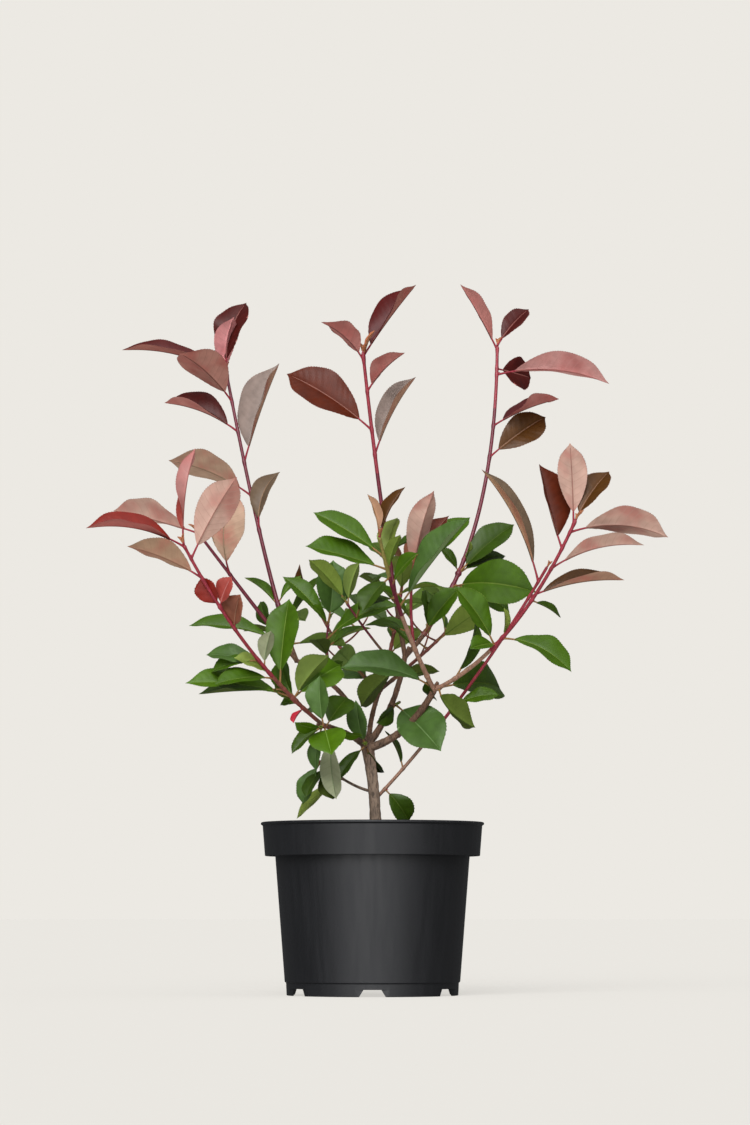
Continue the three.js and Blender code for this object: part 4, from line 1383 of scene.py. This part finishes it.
class PHOTINIA_OT_leaves(bpy.types.Operator):
    """Grows the leaves of every shoot, one joined piece a shoot."""

    bl_idname = "photinia.leaves"
    bl_label = "Leaves"

    def execute(self, context):
        sizes = context.scene.photinia_leaf
        for number, (name, shoot) in enumerate(growth().shoots.items()):
            whim = seeded(BLADE_SEED + number)
            leaves = shoot["leaves"] + [leaf for twig in shoot["twigs"] for leaf in twig["leaves"]]
            leaves += self.opening_leaves(shoot, whim)
            tints = list(dict.fromkeys(leaf.tint for leaf in leaves))
            build = Build()
            for leaf in leaves:
                leaf.curl = math.radians(16 * (whim() - 0.5))
                leaf.wave = 0.03 + 0.05 * whim()
                first = LEAF_FINISHES * tints.index(leaf.tint)
                add_leaf(build, leaf, range(first, first + LEAF_FINISHES), sizes, whim)
            materials = [material for tint in tints for material in leaf_materials(tint)]
            build.make(f"leaves_of_{name}", materials, [name])
        return {"FINISHED"}

    def opening_leaves(self, shoot, whim):
        """Three small folded leaves that open at the tip of a stem and of each of its twigs."""
        small = []
        for limb in [shoot, *shoot["twigs"]]:
            route = limb["route"]
            red = any(leaf.tint in RED_TINTS for leaf in limb["leaves"][:2])
            for _ in range(3):
                spread = heading(360 * whim(), 10)
                reach = unit(route.way(1.0) + 0.45 * spread) * (7 + 7 * whim())
                leaf = Leaf(route, 0.995, reach, None, whim, bow=0.1, breadth=0.8, fold=52)
                leaf.tint = "amber" if red else "pale"
                small.append(leaf)
        return small


# The stage: the floor's size in millimetres and its mottling, the light from all round, and the lens as it
# was worked out from the photograph, with its place in metres and its tilt and focal length.
FLOOR_RADIUS = 40_000
FLOOR_SIDES = 96
DAYLIGHT = (0.97, 0.99, 1.0, 1)
EYE = (0.0026, -3.8, 0.085)
TILT = 5.42
FOCAL_LENGTH = 117.87


class PHOTINIA_OT_stage(bpy.types.Operator):
    """Sets the pale floor, the soft studio light and the camera."""

    bl_idname = "photinia.stage"
    bl_label = "Stage"

    def execute(self, context):
        scene = context.scene
        colours = scene.photinia_stage
        self.floor(colours.pale, colours.glow)
        self.sky(scene, colours)
        self.sun("key_light", azimuth=-14, elevation=36, spread=40, strength=colours.key)
        self.sun("fill_light", azimuth=30, elevation=72, spread=60, strength=colours.fill)
        gloss = self.sun("gloss_light", azimuth=-1, elevation=4, spread=84, strength=colours.gloss)
        gloss.visible_diffuse = False
        self.camera(scene)
        scene.view_settings.view_transform = "Standard"
        return {"FINISHED"}

    def floor(self, colour, glow):
        """A matt floor that is lit from within for the most part, so that shadows on it stay faint."""
        disc = Build()
        disc.add(level_ring(circle(FLOOR_SIDES), FLOOR_RADIUS, 0), [range(FLOOR_SIDES)], 0)
        floor = disc.shape("studio_floor")
        material = blank("matt_acrylic_floor")
        surface(
            material,
            Base_Color=mottled(material, blend(colour, (0, 0, 0, 1), glow), scaled(material, 50), 0.004),
            Roughness=0.9,
            Specular_IOR_Level=0.0,
            Emission_Color=tuple(colour),
            Emission_Strength=glow,
        )
        floor.data.materials.append(material)
        floor.visible_glossy = False

    def sky(self, scene, colours):
        """A pale surround that the lens sees as it is and that lights the plant softly."""
        world = bpy.data.worlds.new("studio_surround")
        scene.world = world
        world.use_nodes = True
        world.node_tree.nodes.clear()
        seen = node(world, "Background", {"Color": tuple(colours.pale)}).outputs["Background"]
        lit = node(world, "Background", {"Color": DAYLIGHT, "Strength": colours.sky}).outputs["Background"]
        to_lens = node(world, "LightPath").outputs["Is Camera Ray"]
        mix = node(world, "MixShader", {"Fac": to_lens, 1: lit, 2: seen})
        node(world, "OutputWorld", {"Surface": mix.outputs["Shader"]})

    def sun(self, name, azimuth, elevation, spread, strength):
        """A broad soft light from a bearing, 0 at the lens and positive to its right."""
        light = bpy.data.lights.new(name, "SUN")
        light.energy = strength
        light.angle = math.radians(spread)
        lamp = bpy.data.objects.new(name, light)
        lamp.rotation_euler = (math.radians(90 - elevation), 0, math.radians(azimuth))
        bpy.context.scene.collection.objects.link(lamp)
        return lamp

    def camera(self, scene):
        """The lens that the photograph was taken with: low, far off and tilted up a little."""
        lens = bpy.data.cameras.new("camera")
        lens.lens = FOCAL_LENGTH
        lens.sensor_width = 36
        lens.clip_end = 200
        camera = bpy.data.objects.new("camera", lens)
        camera.location = EYE
        camera.rotation_euler = (math.radians(90 + TILT), 0, 0)
        scene.collection.objects.link(camera)
        scene.camera = camera


class PHOTINIA_PT_panel(bpy.types.Panel):
    """Lists the steps that make the potted photinia."""

    bl_label = "Potted photinia"
    bl_idname = "PHOTINIA_PT_panel"
    bl_space_type = "VIEW_3D"
    bl_region_type = "UI"
    bl_category = "Photinia"

    def draw(self, context):
        for step in STEPS:
            self.layout.operator(step.bl_idname)


GROUPS = {
    "photinia_pot": PotSizes,
    "photinia_soil": SoilSizes,
    "photinia_wood": WoodSizes,
    "photinia_leaf": LeafSizes,
    "photinia_upper": UpperColours,
    "photinia_under": UnderColours,
    "photinia_stage": StageColours,
}
STEPS = (
    PHOTINIA_OT_pot,
    PHOTINIA_OT_potting_mix,
    PHOTINIA_OT_wood,
    PHOTINIA_OT_stems,
    PHOTINIA_OT_leaves,
    PHOTINIA_OT_stage,
)
CLASSES = (*GROUPS.values(), *STEPS, PHOTINIA_PT_panel)


def register():
    for made in CLASSES:
        bpy.utils.register_class(made)
    for name, group in GROUPS.items():
        setattr(bpy.types.Scene, name, PointerProperty(type=group))


def unregister():
    for name in GROUPS:
        delattr(bpy.types.Scene, name)
    for made in reversed(CLASSES):
        bpy.utils.unregister_class(made)


def main():
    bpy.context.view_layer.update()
    register()
    bpy.ops.photinia.stage()
    bpy.ops.photinia.pot()
    bpy.ops.photinia.potting_mix()
    bpy.ops.photinia.wood()
    bpy.ops.photinia.stems()
    bpy.ops.photinia.leaves()


if __name__ == "__main__":
    main()
